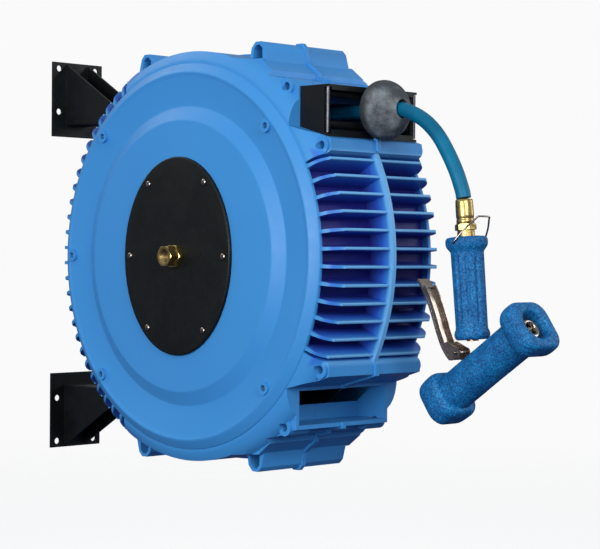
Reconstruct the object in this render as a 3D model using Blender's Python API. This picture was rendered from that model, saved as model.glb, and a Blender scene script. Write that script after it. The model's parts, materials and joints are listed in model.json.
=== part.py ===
"""Wall-mounted, enclosed, spring-rewind hose reel with a rear-lever wash-down gun.

Metres, +Z up. The wall is the plane y = 0 and the reel stands out from it towards -Y.
The origin is the middle of the upper bracket's back face. Most numbers below are given
about the reel's own axis, which runs along X through the empty "reel_axis", with -X the
water inlet side, and every piece is parented to that empty.
"""
import bpy
import bmesh
import math
from mathutils import Matrix, Vector

# ---------------------------------------------------------------- driving dimensions
GAP = 0.0003                      # clearance between pieces that touch
REEL_OUT = 0.357                  # wall to the reel's axis
BRACKET_UP = 0.2235               # reel's axis to the middle of a bracket's plate
DISC_R = 0.235                    # round side cover
RIM_R, RIM_X = 0.245, 0.098       # edge where the side cover meets the fins
FIN_R = 0.270                     # fins' outer edge
BASE_R = 0.236                    # bottom of the gaps between the fins
BORE_R = 0.231                    # inside of the casing's round wall
CORNER_X = 0.080                  # half width of the mouth, the window and the terraces
FOOT_X, FOOT_TOP = 0.072, 0.266  # half width and height of a casing foot
CROWN_R = 0.260                   # smooth round wall between the feet
FIN_PITCH = math.radians(4.72)
FIN_THICK = 0.0034
FRONT_FINS = 12
BACK_FINS = 26
FLANGE_X, FLANGE_PROUD = 0.003, 0.0035

PIVOT_Y, PIVOT_R = 0.240, 0.006   # swivel axis behind the reel's axis, bolt radius
SHELF_Z, SHELF_THICK = 0.187, 0.003
LUG_TOP, LUG_LOW = 0.1755, 0.146

AXLE_R = 0.017
DRUM_NEAR, DRUM_FAR = -0.070, 0.043
DRUM_FLANGE_R, DRUM_SHEET = 0.222, 0.0025
HUB_R = 0.110
COIL_R = 0.1682
HOSE_R = 0.00875
MOUTH_Z = 0.178
MOUTH_BACK, MOUTH_FRONT = -0.189, -0.2365

RATCHET_TEETH, RATCHET_TIP, RATCHET_ROOT = 15, 0.092, 0.084
PAWL_Y, PAWL_Z = 0.026, 0.1015

HANDLE_TOP = Vector((0, -0.3853, 0.0250))    # gun handle's upper face, on its axis
HANDLE_LEAN = math.radians(5.3)
BARREL_REAR = Vector((0, -0.360, -0.162))    # middle of the gun's rear cap
BARREL_RISE = math.radians(35.1)
BARREL_R = 0.023
LEVER_PIVOT = Vector((0, -0.3785, -0.1085))
LATCH_PIVOT = Vector((0, -0.3875, 0.0170))

# ---------------------------------------------------------------- materials
COLOURS = {
    "casing_blue": ((0.08, 0.27, 0.62), 0.40, 0.0),
    "bracket_black": ((0.012, 0.015, 0.015), 0.45, 0.3),
    "plate_black": ((0.010, 0.012, 0.012), 0.35, 0.0),
    "guide_black": ((0.012, 0.012, 0.013), 0.40, 0.0),
    "stop_rubber": ((0.022, 0.024, 0.026), 0.65, 0.0),
    "brass": ((0.62, 0.44, 0.16), 0.28, 1.0),
    "steel": ((0.55, 0.55, 0.55), 0.30, 1.0),
    "zinc": ((0.42, 0.43, 0.45), 0.40, 1.0),
    "nylon": ((0.70, 0.70, 0.66), 0.50, 0.0),
    "hose_teal": ((0.004, 0.17, 0.27), 0.40, 0.0),
    "gun_blue": ((0.012, 0.13, 0.42), 0.60, 0.0),
}


def material(name):
    """One Principled material for each entry of COLOURS."""
    found = bpy.data.materials.get(name)
    if found:
        return found
    colour, roughness, metallic = COLOURS[name]
    made = bpy.data.materials.new(name)
    made.use_nodes = True
    shader = made.node_tree.nodes["Principled BSDF"]
    shader.inputs["Base Color"].default_value = (*colour, 1.0)
    shader.inputs["Roughness"].default_value = roughness
    shader.inputs["Metallic"].default_value = metallic
    made.diffuse_color = (*colour, 1.0)
    return made


# ---------------------------------------------------------------- solids from profiles
def object_from(name, bm, finish=None, origin=(0, 0, 0)):
    """Turn a bmesh into an object under the reel's axis, with its own origin."""
    origin = Vector(origin)
    bmesh.ops.recalc_face_normals(bm, faces=bm.faces)
    bmesh.ops.translate(bm, verts=bm.verts, vec=-origin)
    mesh = bpy.data.meshes.new(name)
    bm.to_mesh(mesh)
    bm.free()
    obj = bpy.data.objects.new(name, mesh)
    obj.location = origin
    bpy.context.scene.collection.objects.link(obj)
    if finish:
        mesh.materials.append(material(finish))
        obj.parent = bpy.data.objects["reel_axis"]
    return obj


def prism_mesh(outline, x0, x1):
    """A closed (y, z) outline pushed along X."""
    bm = bmesh.new()
    face = bm.faces.new([bm.verts.new((x0, y, z)) for y, z in outline])
    pushed = bmesh.ops.extrude_face_region(bm, geom=[face])
    tips = [g for g in pushed["geom"] if isinstance(g, bmesh.types.BMVert)]
    bmesh.ops.translate(bm, verts=tips, vec=(x1 - x0, 0, 0))
    return bm


def turned_mesh(profile, sides=48, place=None, ring=False):
    """Spin (height, radius) points about an axis, along +X unless placed elsewhere.

    A solid profile starts and ends on the axis; a ring profile is a closed loop."""
    bm = bmesh.new()
    rows = []
    for height, radius in profile:
        if radius < 1e-7:
            rows.append([bm.verts.new((height, 0, 0))])
            continue
        turn = [2 * math.pi * k / sides for k in range(sides)]
        rows.append([bm.verts.new((height, radius * math.cos(a), radius * math.sin(a)))
                     for a in turn])
    pairs = list(zip(rows, rows[1:]))
    if ring:
        pairs.append((rows[-1], rows[0]))
    for low, high in pairs:
        for k in range(sides):
            n = (k + 1) % sides
            corner = [low[k % len(low)], low[n % len(low)],
                      high[n % len(high)], high[k % len(high)]]
            bm.faces.new(list(dict.fromkeys(corner)))
    if place:
        bmesh.ops.transform(bm, matrix=place, verts=bm.verts)
    return bm


def tube_profile(h0, h1, inner, outer):
    return [(h0, inner), (h1, inner), (h1, outer), (h0, outer)]


def rod_profile(h0, h1, radius):
    return [(h0, 0), (h0, radius), (h1, radius), (h1, 0)]


def along(start, direction):
    """Matrix that takes the X axis to a direction, and the origin to a start."""
    turn = Vector(direction).to_track_quat("X", "Z").to_matrix().to_4x4()
    return Matrix.Translation(Vector(start)) @ turn


def join(target, tools, operation):
    """Boolean with one or more solids, carried out at once, so that only the result stays."""
    group = bpy.data.collections.new("tools")
    bpy.context.scene.collection.children.link(group)
    helpers = [object_from("tool", bm) for bm in tools]
    for helper in helpers:
        helper.parent = target.parent
        group.objects.link(helper)
    change = target.modifiers.new("change", "BOOLEAN")
    change.operation = operation
    change.solver = "EXACT"
    change.operand_type = "COLLECTION"
    change.collection = group
    bpy.context.view_layer.update()
    seen = target.evaluated_get(bpy.context.evaluated_depsgraph_get())
    result = bpy.data.meshes.new_from_object(seen)
    target.modifiers.clear()
    flat = bmesh.new()
    flat.from_mesh(result)
    bmesh.ops.remove_doubles(flat, verts=flat.verts, dist=2e-6)
    bmesh.ops.triangulate(flat, faces=flat.faces)
    flat.to_mesh(result)
    flat.free()
    old = target.data
    result.name = target.name
    target.data = result
    bpy.data.meshes.remove(old)
    for helper in helpers:
        bpy.data.objects.remove(helper)
    bpy.data.collections.remove(group)


def merge_flat_faces(obj):
    """Join neighbouring triangles that lie in one plane."""
    flat = bmesh.new()
    flat.from_mesh(obj.data)
    bmesh.ops.dissolve_limit(flat, angle_limit=math.radians(0.1), verts=flat.verts,
                             edges=flat.edges)
    bmesh.ops.triangulate(flat, faces=flat.faces)
    flat.to_mesh(obj.data)
    flat.free()


def add(target, *solids):
    join(target, solids, "UNION")


def cut(target, *solids):
    join(target, solids, "DIFFERENCE")


def hex_nut(name, h0, h1, corner, bore, finish, place=None):
    """Hexagon across given corners with a round bore, along +X unless placed elsewhere."""
    spot = place.translation if place else (0, 0, 0)
    nut = object_from(name, turned_mesh(rod_profile(h0, h1, corner), 6, place), finish, spot)
    cut(nut, turned_mesh(rod_profile(h0 - 0.01, h1 + 0.01, bore), 16, place))


def polar(radius, angle):
    """(y, z) at an angle measured from the front (-Y), rising towards +Z."""
    return (-radius * math.cos(angle), radius * math.sin(angle))


def arc(radius, start, end, steps):
    return [polar(radius, start + (end - start) * k / steps) for k in range(steps + 1)]


def flip(points, back=False, down=False):
    """Mirror (y, z) points front to back and top to bottom."""
    return [(-y if back else y, -z if down else z) for y, z in points]


def smooth(route, steps):
    """Catmull-Rom curve through a route's points."""
    points = [Vector(p) for p in route]
    ends = [points[0] * 2 - points[1]] + points + [points[-1] * 2 - points[-2]]
    curve = []
    for p0, p1, p2, p3 in zip(ends, ends[1:], ends[2:], ends[3:]):
        for k in range(steps):
            t = k / steps
            curve.append(0.5 * (2 * p1 + (p2 - p0) * t + (2 * p0 - 5 * p1 + 4 * p2 - p3) * t * t
                                + (3 * p1 - p0 - 3 * p2 + p3) * t ** 3))
    return curve + [points[-1]]


def wire(name, points, radius, finish, resolution=2, origin=(0, 0, 0)):
    """A round tube along points, as a curve with a bevel and filled caps."""
    data = bpy.data.curves.new(name, "CURVE")
    data.dimensions = "3D"
    data.bevel_depth = radius
    data.bevel_resolution = resolution
    data.use_fill_caps = True
    spline = data.splines.new("POLY")
    spline.points.add(len(points) - 1)
    for slot, point in zip(spline.points, points):
        slot.co = (*(Vector(point) - Vector(origin)), 1.0)
    obj = bpy.data.objects.new(name, data)
    obj.location = origin
    bpy.context.scene.collection.objects.link(obj)
    data.materials.append(material(finish))
    obj.parent = bpy.data.objects["reel_axis"]
    return obj


# ---------------------------------------------------------------- casing outline
MOUTH_CORNER = [(-0.2437, 0.1266), (-0.2437, 0.1410), (-0.2310, 0.1450), (-0.1890, 0.1570),
                (-0.1890, 0.2080), (-0.1640, 0.2110), (-0.1640, 0.2160), (-0.1430, 0.2210),
                (-0.1420, 0.2280), (-0.1220, 0.2430)]
FOOT_FACE = [(-0.1190, 0.2600), (-0.1130, FOOT_TOP), (-0.1030, FOOT_TOP),
             (-0.0960, 0.2590), (-0.0930, 0.2440)]
BACK_CORNER = [(0.0930, 0.2440), (0.0960, 0.2590), (0.1030, FOOT_TOP), (0.1130, FOOT_TOP),
               (0.1200, 0.2600), (0.1260, 0.2370)]


def fin_sector(middle, count, toothed):
    """Edge of a row of radial fins, rising in angle; a plain arc if not toothed."""
    half = count * FIN_PITCH / 2
    if not toothed:
        return arc(FIN_R, middle - half, middle + half, max(2, count // 2))
    points = []
    for k in range(count):
        centre = middle - half + (k + 0.5) * FIN_PITCH
        tip = FIN_THICK / 2 / FIN_R
        root = 0.75 * FIN_THICK / BASE_R
        points += [polar(BASE_R, centre - root), polar(FIN_R, centre - tip),
                   polar(FIN_R, centre + tip), polar(BASE_R, centre + root)]
    return points


def casing_outline(toothed, feet=True):
    """Closed (y, z) outline of the casing seen along X, counted upwards from the front."""
    top_front = MOUTH_CORNER + (FOOT_FACE if feet else [])
    crown = arc(CROWN_R, math.radians(71), math.radians(109), 8)
    top_back = BACK_CORNER if feet else BACK_CORNER[-1:]
    upper = top_front + crown + top_back
    lower = flip(upper, down=True)[::-1]
    front = fin_sector(0, FRONT_FINS, toothed)
    back = fin_sector(math.pi, BACK_FINS, toothed)
    return front + upper + back + lower


def swollen(outline, by):
    """Outline pushed away from the reel's axis by a constant amount."""
    grown = []
    for y, z in outline:
        r = math.hypot(y, z)
        grown.append((y * (r + by) / r, z * (r + by) / r))
    return grown


def side_cover_profile():
    """Outside of the dished side cover, from the inlet hole out to the rim."""
    return [(0.1080, 0.172), (0.0990, 0.190), (0.1040, 0.228), (0.1055, 0.2325),
            (0.1040, DISC_R + 0.0005), (RIM_X, RIM_R)]


def casing_shell(name, side):
    """Half of the casing: side -1 is the inlet half, +1 the spring half.

    Every solid starts a little past the parting plane, and the last cut makes it flat."""
    def x(value):
        return side * value

    def turned(profile, sides=36, ring=False):
        return turned_mesh([(x(h), r) for h, r in profile], sides, ring=ring)

    finned = prism_mesh(casing_outline(True, feet=False), x(-0.004), x(RIM_X + 0.004))
    shell = object_from(name, finned, "casing_blue")
    envelope = [(-0.010, 0), (-0.010, 0.30), (CORNER_X, 0.30), (CORNER_X, 0.2675),
                (0.089, 0.2625), (0.0945, 0.2550), (RIM_X - 0.001, 0.2480), (RIM_X - 0.001, 0)]
    join(shell, [turned(envelope)], "INTERSECT")

    flange = swollen(casing_outline(False), FLANGE_PROUD)
    cover = [(0.093, 0), (0.093, RIM_R)] + side_cover_profile()[::-1] + [(0.1080, 0)]
    solids = [prism_mesh(flange, x(-0.005), x(FLANGE_X)), turned(cover)]
    cavity = [(-0.020, 0), (-0.020, BORE_R), (0.0935, BORE_R), (0.0985, 0.2250),
              (0.0950, 0.1885), (0.1040, 0.1700), (0.1040, 0)]
    hollows = [turned(cavity)]
    for down in (False, True):
        front_foot = flip(FOOT_FACE + [(-0.100, 0.228), (-0.128, 0.228)], down=down)
        hollow = flip([(-0.1155, 0.2575), (-0.1105, 0.2620), (-0.1045, 0.2620),
                       (-0.1000, 0.2570), (-0.0985, 0.2450), (-0.1160, 0.2450)], down=down)
        for back in (False, True):
            solids.append(prism_mesh(flip(front_foot, back=back), x(-0.006), x(FOOT_X)))
            hollows.append(prism_mesh(flip(hollow, back=back), x(-0.020), x(0.075)))
        lug = [(0.190, LUG_LOW), (PIVOT_Y + 0.018, LUG_LOW), (PIVOT_Y + 0.018, LUG_TOP),
               (0.190, LUG_TOP)]
        solids.append(prism_mesh(flip(lug, down=down), x(-0.007), x(0.018)))
        level = -1 if down else 1
        bore = rod_profile(level * (LUG_LOW - 0.01), level * (LUG_TOP + 0.01), 0.0107)
        hollows.append(turned_mesh(bore, 16, along((0, PIVOT_Y, 0), (0, 0, 1))))
    hose_hole = [(-0.115, MOUTH_Z - 0.011), (-0.200, MOUTH_Z - 0.011),
                 (-0.200, MOUTH_Z + 0.011), (-0.115, MOUTH_Z + 0.011)]
    hollows.append(prism_mesh(hose_hole, x(-0.020), x(0.030)))
    guide_room = [(-0.1890, 0.1571), (-0.2310, 0.1451), (-0.2400, 0.1423), (-0.2600, 0.2070),
                  (-0.1890, 0.2070)]
    hollows.append(prism_mesh(guide_room, x(-0.020), x(0.010)))
    window = [(-0.140, -0.161), (-0.200, -0.161), (-0.200, -0.203), (-0.140, -0.203)]
    hollows.append(prism_mesh(window, x(-0.020), x(0.0755)))

    corner_screws = [(-0.1715, 0.2060), (-0.2315, 0.1330)]
    for y, z in corner_screws + flip(corner_screws, down=True):
        spot = Matrix.Translation((0, y, z))
        solids.append(turned_mesh(rod_profile(x(0.050), x(0.0835), 0.0105), 10, spot))
        hollows.append(turned_mesh(rod_profile(x(0.068), x(0.090), 0.0048), 6, spot))
    for degrees in (45, 135, 180, 225, 315):
        spot = Matrix.Translation((0, *polar(0.2235, math.radians(degrees))))
        solids.append(turned_mesh(rod_profile(x(0.098), x(0.1072), 0.0080), 8, spot))
        hollows.append(turned_mesh(rod_profile(x(0.1015), x(0.110), 0.0036), 6, spot))
    everything = [(-0.4, -0.4), (0.4, -0.4), (0.4, 0.4), (-0.4, 0.4)]
    hollows.append(prism_mesh(everything, x(-0.05), x(GAP / 2)))
    if side < 0:
        hollows.append(turned(rod_profile(0.09, 0.12, 0.0460), 24))
    add(shell, *solids)
    cut(shell, *hollows)
    if side > 0:
        add(shell, turned(tube_profile(0.0935, 0.1050, AXLE_R + GAP, 0.028), 24, ring=True))
    merge_flat_faces(shell)


# ---------------------------------------------------------------- wall side
def wall_bracket(name, level):
    """Wall plate, pivot shelf and two gussets; level +1 is the upper one."""
    down = level < 0
    wall = REEL_OUT
    plate = [(wall - 0.003, 0.170), (wall, 0.170), (wall, 0.277), (wall - 0.003, 0.277)]
    bracket = object_from(name, prism_mesh(flip(plate, down=down), -0.044, 0.044),
                          "bracket_black")
    nose = PIVOT_Y - 0.022
    shelf = [(nose, SHELF_Z), (wall - 0.002, SHELF_Z), (wall - 0.002, SHELF_Z + SHELF_THICK),
             (nose, SHELF_Z + SHELF_THICK)]
    add(bracket, prism_mesh(flip(shelf, down=down), -0.0205, 0.0205))
    gusset = [(nose + 0.004, SHELF_Z + 0.001), (wall - 0.002, SHELF_Z + 0.001),
              (wall - 0.002, 0.275), (nose + 0.004, 0.197)]
    for side in (-1, 1):
        add(bracket, prism_mesh(flip(gusset, down=down), side * 0.0175, side * 0.0205))
    for x in (-0.0325, 0.0325):
        for z in (0.206, 0.268):
            place = along((x, wall - 0.01, level * z), (0, 1, 0))
            cut(bracket, turned_mesh(rod_profile(0, 0.02, 0.0045), 10, place))
    place = along((0, PIVOT_Y, level * SHELF_Z), (0, 0, 1))
    cut(bracket, turned_mesh(rod_profile(-0.01, 0.01, PIVOT_R + GAP), 16, place))


def pivot_pieces(word, level):
    """Bolt, lock nut, thrust washer and bush of one swivel pivot."""
    place = along((0, PIVOT_Y, 0), (0, 0, level))
    shelf_top = SHELF_Z + SHELF_THICK
    bolt = [(LUG_LOW + 0.004, 0), (LUG_LOW + 0.004, PIVOT_R), (shelf_top + GAP, PIVOT_R)]
    head = turned_mesh(bolt + [(shelf_top + GAP, 0)], 16, place)
    piece = object_from(word + "_pivot_bolt", head, "zinc", place.translation)
    add(piece, turned_mesh(rod_profile(shelf_top + GAP - 0.0002, shelf_top + 0.008, 0.0105),
                           6, place))
    hex_nut(word + "_pivot_nut", SHELF_Z - 0.0075, SHELF_Z - GAP, 0.0105, PIVOT_R + GAP,
            "zinc", place)
    rings = (("_thrust_washer", LUG_TOP + GAP, LUG_TOP + 0.0035, 0.0150, "steel"),
             ("_pivot_bush", LUG_LOW, LUG_TOP, 0.0103, "nylon"))
    for suffix, low, high, outer, finish in rings:
        ring = turned_mesh(tube_profile(low, high, PIVOT_R + GAP, outer), 16, place, ring=True)
        object_from(word + suffix, ring, finish, place.translation)


# ---------------------------------------------------------------- inlet and axle
PLATE_HALF_Y, PLATE_HALF_Z = 0.1025, 0.126
PLATE_X = 0.1083


def inlet_plate():
    """Oval black plate that carries the fixed axle, with a bevelled edge."""
    outline = []
    for k in range(32):
        a = 2 * math.pi * k / 32
        outline.append((math.cos(a), math.sin(a)))

    def ring(inset):
        return [(y * (PLATE_HALF_Y - inset), z * (PLATE_HALF_Z - inset)) for y, z in outline]

    plate = object_from("inlet_plate", prism_mesh(ring(0), -PLATE_X - 0.003, -PLATE_X),
                        "plate_black")
    add(plate, prism_mesh(ring(0.002), -PLATE_X - 0.0045, -PLATE_X - 0.001))
    cut(plate, turned_mesh(rod_profile(-0.12, -0.10, 0.0112), 20))
    for y, z in plate_screw_spots():
        cut(plate, turned_mesh(rod_profile(-0.12, -0.10, 0.0023), 8,
                               Matrix.Translation((0, y, z))))


def plate_screw_spots():
    """Six screws on the oval, 12 mm inside its edge."""
    spots = []
    for k in range(6):
        a = math.pi * k / 3
        stretch = 1.0 if k % 3 == 0 else 1.19
        spots.append((0.0905 * stretch * math.cos(a), 0.0895 * stretch * math.sin(a)))
    return spots


def inlet_and_axle():
    inlet_plate()
    face = -PLATE_X - 0.0045
    for number, (y, z) in enumerate(plate_screw_spots(), 1):
        place = Matrix.Translation((0, y, z))
        screw = object_from(f"plate_screw_{number}",
                            turned_mesh(rod_profile(face - 0.0022, face - GAP, 0.0042), 8,
                                        place), "steel", (face, y, z))
        add(screw, turned_mesh(rod_profile(face - 0.001, -PLATE_X + 0.0001, 0.0019), 8, place))
    hex_nut("inlet_lock_nut", face - 0.0060, face - GAP, 0.0158, 0.0108, "brass")
    fitting = object_from("inlet_fitting", turned_mesh(rod_profile(face - 0.0185,
                          face - 0.0063, 0.0142), 6), "brass")
    add(fitting, turned_mesh(rod_profile(face - 0.0070, -0.0700, 0.0104), 32))
    cut(fitting, turned_mesh(rod_profile(-0.14, -0.06, 0.0082), 32))
    axle = object_from("hollow_axle", turned_mesh([(-0.1075, 0), (-0.1075, 0.043),
                       (-0.1045, 0.043), (-0.1045, AXLE_R), (0.1035, AXLE_R), (0.1035, 0)],
                       24), "steel")
    cut(axle, turned_mesh(rod_profile(-0.12, -0.0690, 0.0108), 20))
    cut(axle, turned_mesh(rod_profile(-0.10, -0.0350, 0.0090), 20))
    cut(axle, turned_mesh(rod_profile(0, 0.03, 0.0060), 12, along((-0.0450, 0, 0), (0, 0, 1))))


# ---------------------------------------------------------------- drum
def drum():
    """Everything that turns with the drum, on the reel's axis."""
    bush_hole = 0.0265
    for word, x in (("near", DRUM_NEAR), ("far", DRUM_FAR - DRUM_SHEET)):
        object_from(word + "_drum_flange",
                    turned_mesh(tube_profile(x, x + DRUM_SHEET, bush_hole, DRUM_FLANGE_R), 32,
                                ring=True), "zinc")
        middle = x + DRUM_SHEET / 2
        bush = turned_mesh([(middle - 0.006, AXLE_R + GAP), (middle + 0.006, AXLE_R + GAP),
                            (middle + 0.006, bush_hole - GAP),
                            (middle - 0.006, bush_hole - GAP)], 20, ring=True)
        object_from(word + "_axle_bush", bush, "nylon")
    inside = DRUM_NEAR + DRUM_SHEET + GAP
    outside = DRUM_FAR - DRUM_SHEET - GAP
    hub = object_from("drum_hub", turned_mesh(tube_profile(inside, outside, HUB_R - 0.004,
                      HUB_R), 32, ring=True), "zinc")
    port = along((-0.0450, 0, 0), (0, 0, 1))
    cut(hub, turned_mesh(rod_profile(0.09, 0.13, 0.0125), 16, port))
    turns = 3
    pitch = (outside - inside - 2 * GAP) / turns
    profile = [(outside - GAP, HUB_R + GAP), (inside + GAP, HUB_R + GAP)]
    for k in range(turns):
        start = inside + GAP + k * pitch
        profile += [(start, COIL_R - 0.005), (start + 0.25 * pitch, COIL_R),
                    (start + 0.75 * pitch, COIL_R)]
    profile.append((outside - GAP, COIL_R - 0.005))
    object_from("wound_hose", turned_mesh(profile, 32, ring=True), "hose_teal")

    swivel = object_from("swivel_body", turned_mesh(tube_profile(-0.0625, -0.0275,
                         AXLE_R + GAP, 0.0300), 24, ring=True), "brass")
    add(swivel, turned_mesh(rod_profile(0.026, 0.070, 0.0110), 14, port))
    add(swivel, turned_mesh(rod_profile(0.065, 0.100, 0.0075), 14, port))
    cut(swivel, turned_mesh(rod_profile(0.010, 0.120, 0.0055), 10, port))

    pitch = 2 * math.pi / RATCHET_TEETH
    outline = []
    for k in range(RATCHET_TEETH):
        face = math.pi / 2 + math.radians(3.2) + k * pitch
        for back, radius in ((0, RATCHET_TIP), (0.02, RATCHET_ROOT), (0.32, RATCHET_ROOT)):
            a = face - back * pitch
            outline.append((radius * math.cos(a), radius * math.sin(a)))
    outline.sort(key=lambda p: math.atan2(p[1], p[0]))
    ratchet = object_from("ratchet_ring", prism_mesh(outline, -0.0765, DRUM_NEAR - GAP),
                          "zinc")
    cut(ratchet, turned_mesh(rod_profile(-0.09, -0.06, 0.070), 30))

    cup = [(DRUM_FAR + GAP, 0.1450), (0.0890, 0.1450), (0.0890, 0.0320), (0.0910, 0.0320),
           (0.0910, 0.1475), (DRUM_FAR + GAP, 0.1475)]
    object_from("spring_case", turned_mesh(cup, 28, ring=True), "zinc")


def spring_and_arbor():
    """Flat spiral rewind spring, wound round an arbor that is fixed on the axle."""
    object_from("spring_arbor", turned_mesh(tube_profile(0.0500, 0.0880, AXLE_R + 2 * GAP,
                0.0290), 16, ring=True), "steel")
    turns, steps, thick = 4, 16, 0.0012
    inner, outer = 0.0310, 0.1425
    total = turns * steps
    outline = []
    for k in range(total + 1):
        a = 2 * math.pi * k / steps
        r = inner + (outer - inner) * k / total
        outline.append((a, r))
    bm = bmesh.new()
    rows = []
    for a, r in outline:
        ring = [(0.0520, r), (0.0520, r + thick), (0.0870, r + thick), (0.0870, r)]
        rows.append([bm.verts.new((x, rr * math.cos(a), rr * math.sin(a))) for x, rr in ring])
    for low, high in zip(rows, rows[1:]):
        for k in range(4):
            n = (k + 1) % 4
            bm.faces.new((low[k], low[n], high[n], high[k]))
    bm.faces.new(rows[0])
    bm.faces.new(rows[-1])
    object_from("main_spring", bm, "steel")


def pawl():
    """Sprung ratchet pawl on a pin in the inlet half, lifted clear of the teeth."""
    x0, x1 = -0.0765, -0.0706
    nose = [(-0.0020, 0.0945), (0.0050, 0.0945), (0.0190, 0.0955), (0.0330, 0.0975),
            (0.0345, 0.1060), (0.0260, 0.1085), (0.0160, 0.1050), (-0.0020, 0.1010)]
    body = object_from("ratchet_pawl", prism_mesh(nose, x0, x1), "steel",
                       (0, PAWL_Y, PAWL_Z))
    place = Matrix.Translation((0, PAWL_Y, PAWL_Z))
    cut(body, turned_mesh(rod_profile(-0.09, -0.06, 0.0033), 16, place))
    object_from("pawl_pin", turned_mesh(rod_profile(-0.1037, -0.0706, 0.0030), 16, place),
                "steel", (0, PAWL_Y, PAWL_Z))


# ---------------------------------------------------------------- mouth
def ledge(y, lift=0.0):
    """Height of the sloping ledge under the hose guide."""
    return 0.1570 + (y - MOUTH_BACK) * 0.2900 + lift


def hose_guide():
    """Black roller box that stands out of the mouth."""
    back, front = MOUTH_BACK - GAP, MOUTH_FRONT
    low = ledge(back, 0.0006)
    low_front = ledge(front, 0.0006)
    top = 0.2055
    cheek_front = -0.2300
    floor = [(back, low), (front, low_front), (front, low_front + 0.0028), (back, low + 0.0028)]
    frame = object_from("hose_guide_frame", prism_mesh(floor, -0.078, 0.078), "guide_black")
    lip = [(front + 0.003, low_front + 0.0005), (front, low_front + 0.0005),
           (front, low_front + 0.0075), (front + 0.003, low_front + 0.0075)]
    roof = [(back, top - 0.0028), (front, top - 0.0028), (front, top), (back, top)]
    cheek = [(back, low + 0.001), (cheek_front, ledge(cheek_front, 0.0016)),
             (cheek_front, top - 0.001), (back, top - 0.001)]
    brow = [(front + 0.003, top - 0.0065), (front, top - 0.0065), (front, top - 0.001),
            (front + 0.003, top - 0.001)]
    add(frame, prism_mesh(roof, -0.078, 0.078))
    for side in (-1, 1):
        add(frame, prism_mesh(cheek, side * 0.0745, side * 0.078))
    add(frame, prism_mesh(lip, -0.0715, 0.0715))
    add(frame, prism_mesh(brow, -0.0715, 0.0715))
    for word, z in (("upper", 0.1965), ("lower", 0.1590)):
        spot = (0, -0.2220, z)
        place = Matrix.Translation(spot)
        sleeve = tube_profile(-0.0735, 0.0735, 0.0022 + GAP, 0.0050)
        object_from(word + "_guide_roller", turned_mesh(sleeve, 12, place, ring=True),
                    "guide_black", spot)
        object_from(word + "_roller_pin", turned_mesh(rod_profile(-0.0742, 0.0742, 0.0022), 12,
                    place), "steel", spot)
    for word, side in (("near", -1), ("far", 1)):
        spot = (side * 0.0755, -0.2335, 0)
        foot = ledge(-0.2335, 0.0034 + 0.0008)
        place = along(spot, (0, 0, 1))
        object_from(word + "_side_roller", turned_mesh(rod_profile(foot, top - 0.0031, 0.0024),
                    16, place), "steel", (spot[0], spot[1], foot))


# ---------------------------------------------------------------- hose
OUTLET_ROUTE = [(0, -0.2383, 0.1780), (0, -0.2620, 0.1780), (0, -0.2850, 0.1769),
                (0, -0.3030, 0.1710), (0, -0.3190, 0.1628), (0, -0.3330, 0.1520),
                (0, -0.3450, 0.1392), (0, -0.3550, 0.1250), (0, -0.3637, 0.1110),
                (0, -0.3706, 0.0980), (0, -0.3762, 0.0850), (0, -0.3794, 0.0765),
                (0, -0.3808, 0.0700)]


def hose():
    """Straight inner stretch, outlet stretch, and the stop that parks it on the mouth."""
    wire("inner_hose", [(0, -0.0020 - 0.0393 * k, MOUTH_Z) for k in range(7)], HOSE_R,
         "hose_teal", 2)
    wire("outlet_hose", smooth(OUTLET_ROUTE, 1), HOSE_R, "hose_teal", 3)
    profile = [(0.2388, HOSE_R + 0.0006), (0.2388, 0.0200), (0.2430, 0.0315), (0.2510, 0.0360),
               (0.2590, 0.0362), (0.2680, 0.0325), (0.2765, 0.0235), (0.2830, 0.0140),
               (0.2850, HOSE_R + 0.0026)]
    for word, side in (("near", -1), ("far", 1)):
        half = object_from(word + "_stop_half", turned_mesh(profile, 24, along((0, 0, MOUTH_Z),
                           (0, -1, 0)), ring=True), "stop_rubber")
        beyond = [(-0.32, 0.12), (-0.20, 0.12), (-0.20, 0.24), (-0.32, 0.24)]
        cut(half, prism_mesh(beyond, -side * 0.06, side * 0.0003))


# ---------------------------------------------------------------- gun
def handle_axis(distance):
    """Point on the handle's axis, measured down from its upper face."""
    lean = Vector((0, -math.sin(HANDLE_LEAN), -math.cos(HANDLE_LEAN)))
    return HANDLE_TOP + lean * distance


def barrel_axis(distance):
    """Point on the barrel's axis, measured forward from the rear cap's middle."""
    return BARREL_REAR + barrel_direction() * distance


def barrel_direction():
    return Vector((0, -math.cos(BARREL_RISE), math.sin(BARREL_RISE)))


def rounded_square(half, corner, steps=2):
    """Closed outline of a square with round corners."""
    points = []
    for k, (u, v) in enumerate(((1, 1), (-1, 1), (-1, -1), (1, -1))):
        for step in range(steps + 1):
            a = math.pi / 2 * (k + step / steps)
            points.append((u * (half - corner) + corner * math.cos(a),
                           v * (half - corner) + corner * math.sin(a)))
    return points


def lofted(sections, place):
    """Solid through (height, outline) sections that have equal numbers of points."""
    bm = bmesh.new()
    rows = [[bm.verts.new((h, u, v)) for u, v in outline] for h, outline in sections]
    for low, high in zip(rows, rows[1:]):
        for k in range(len(low)):
            n = (k + 1) % len(low)
            bm.faces.new((low[k], low[n], high[n], high[k]))
    bm.faces.new(rows[0])
    bm.faces.new(rows[-1])
    bmesh.ops.transform(bm, matrix=place, verts=bm.verts)
    return bm


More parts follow.
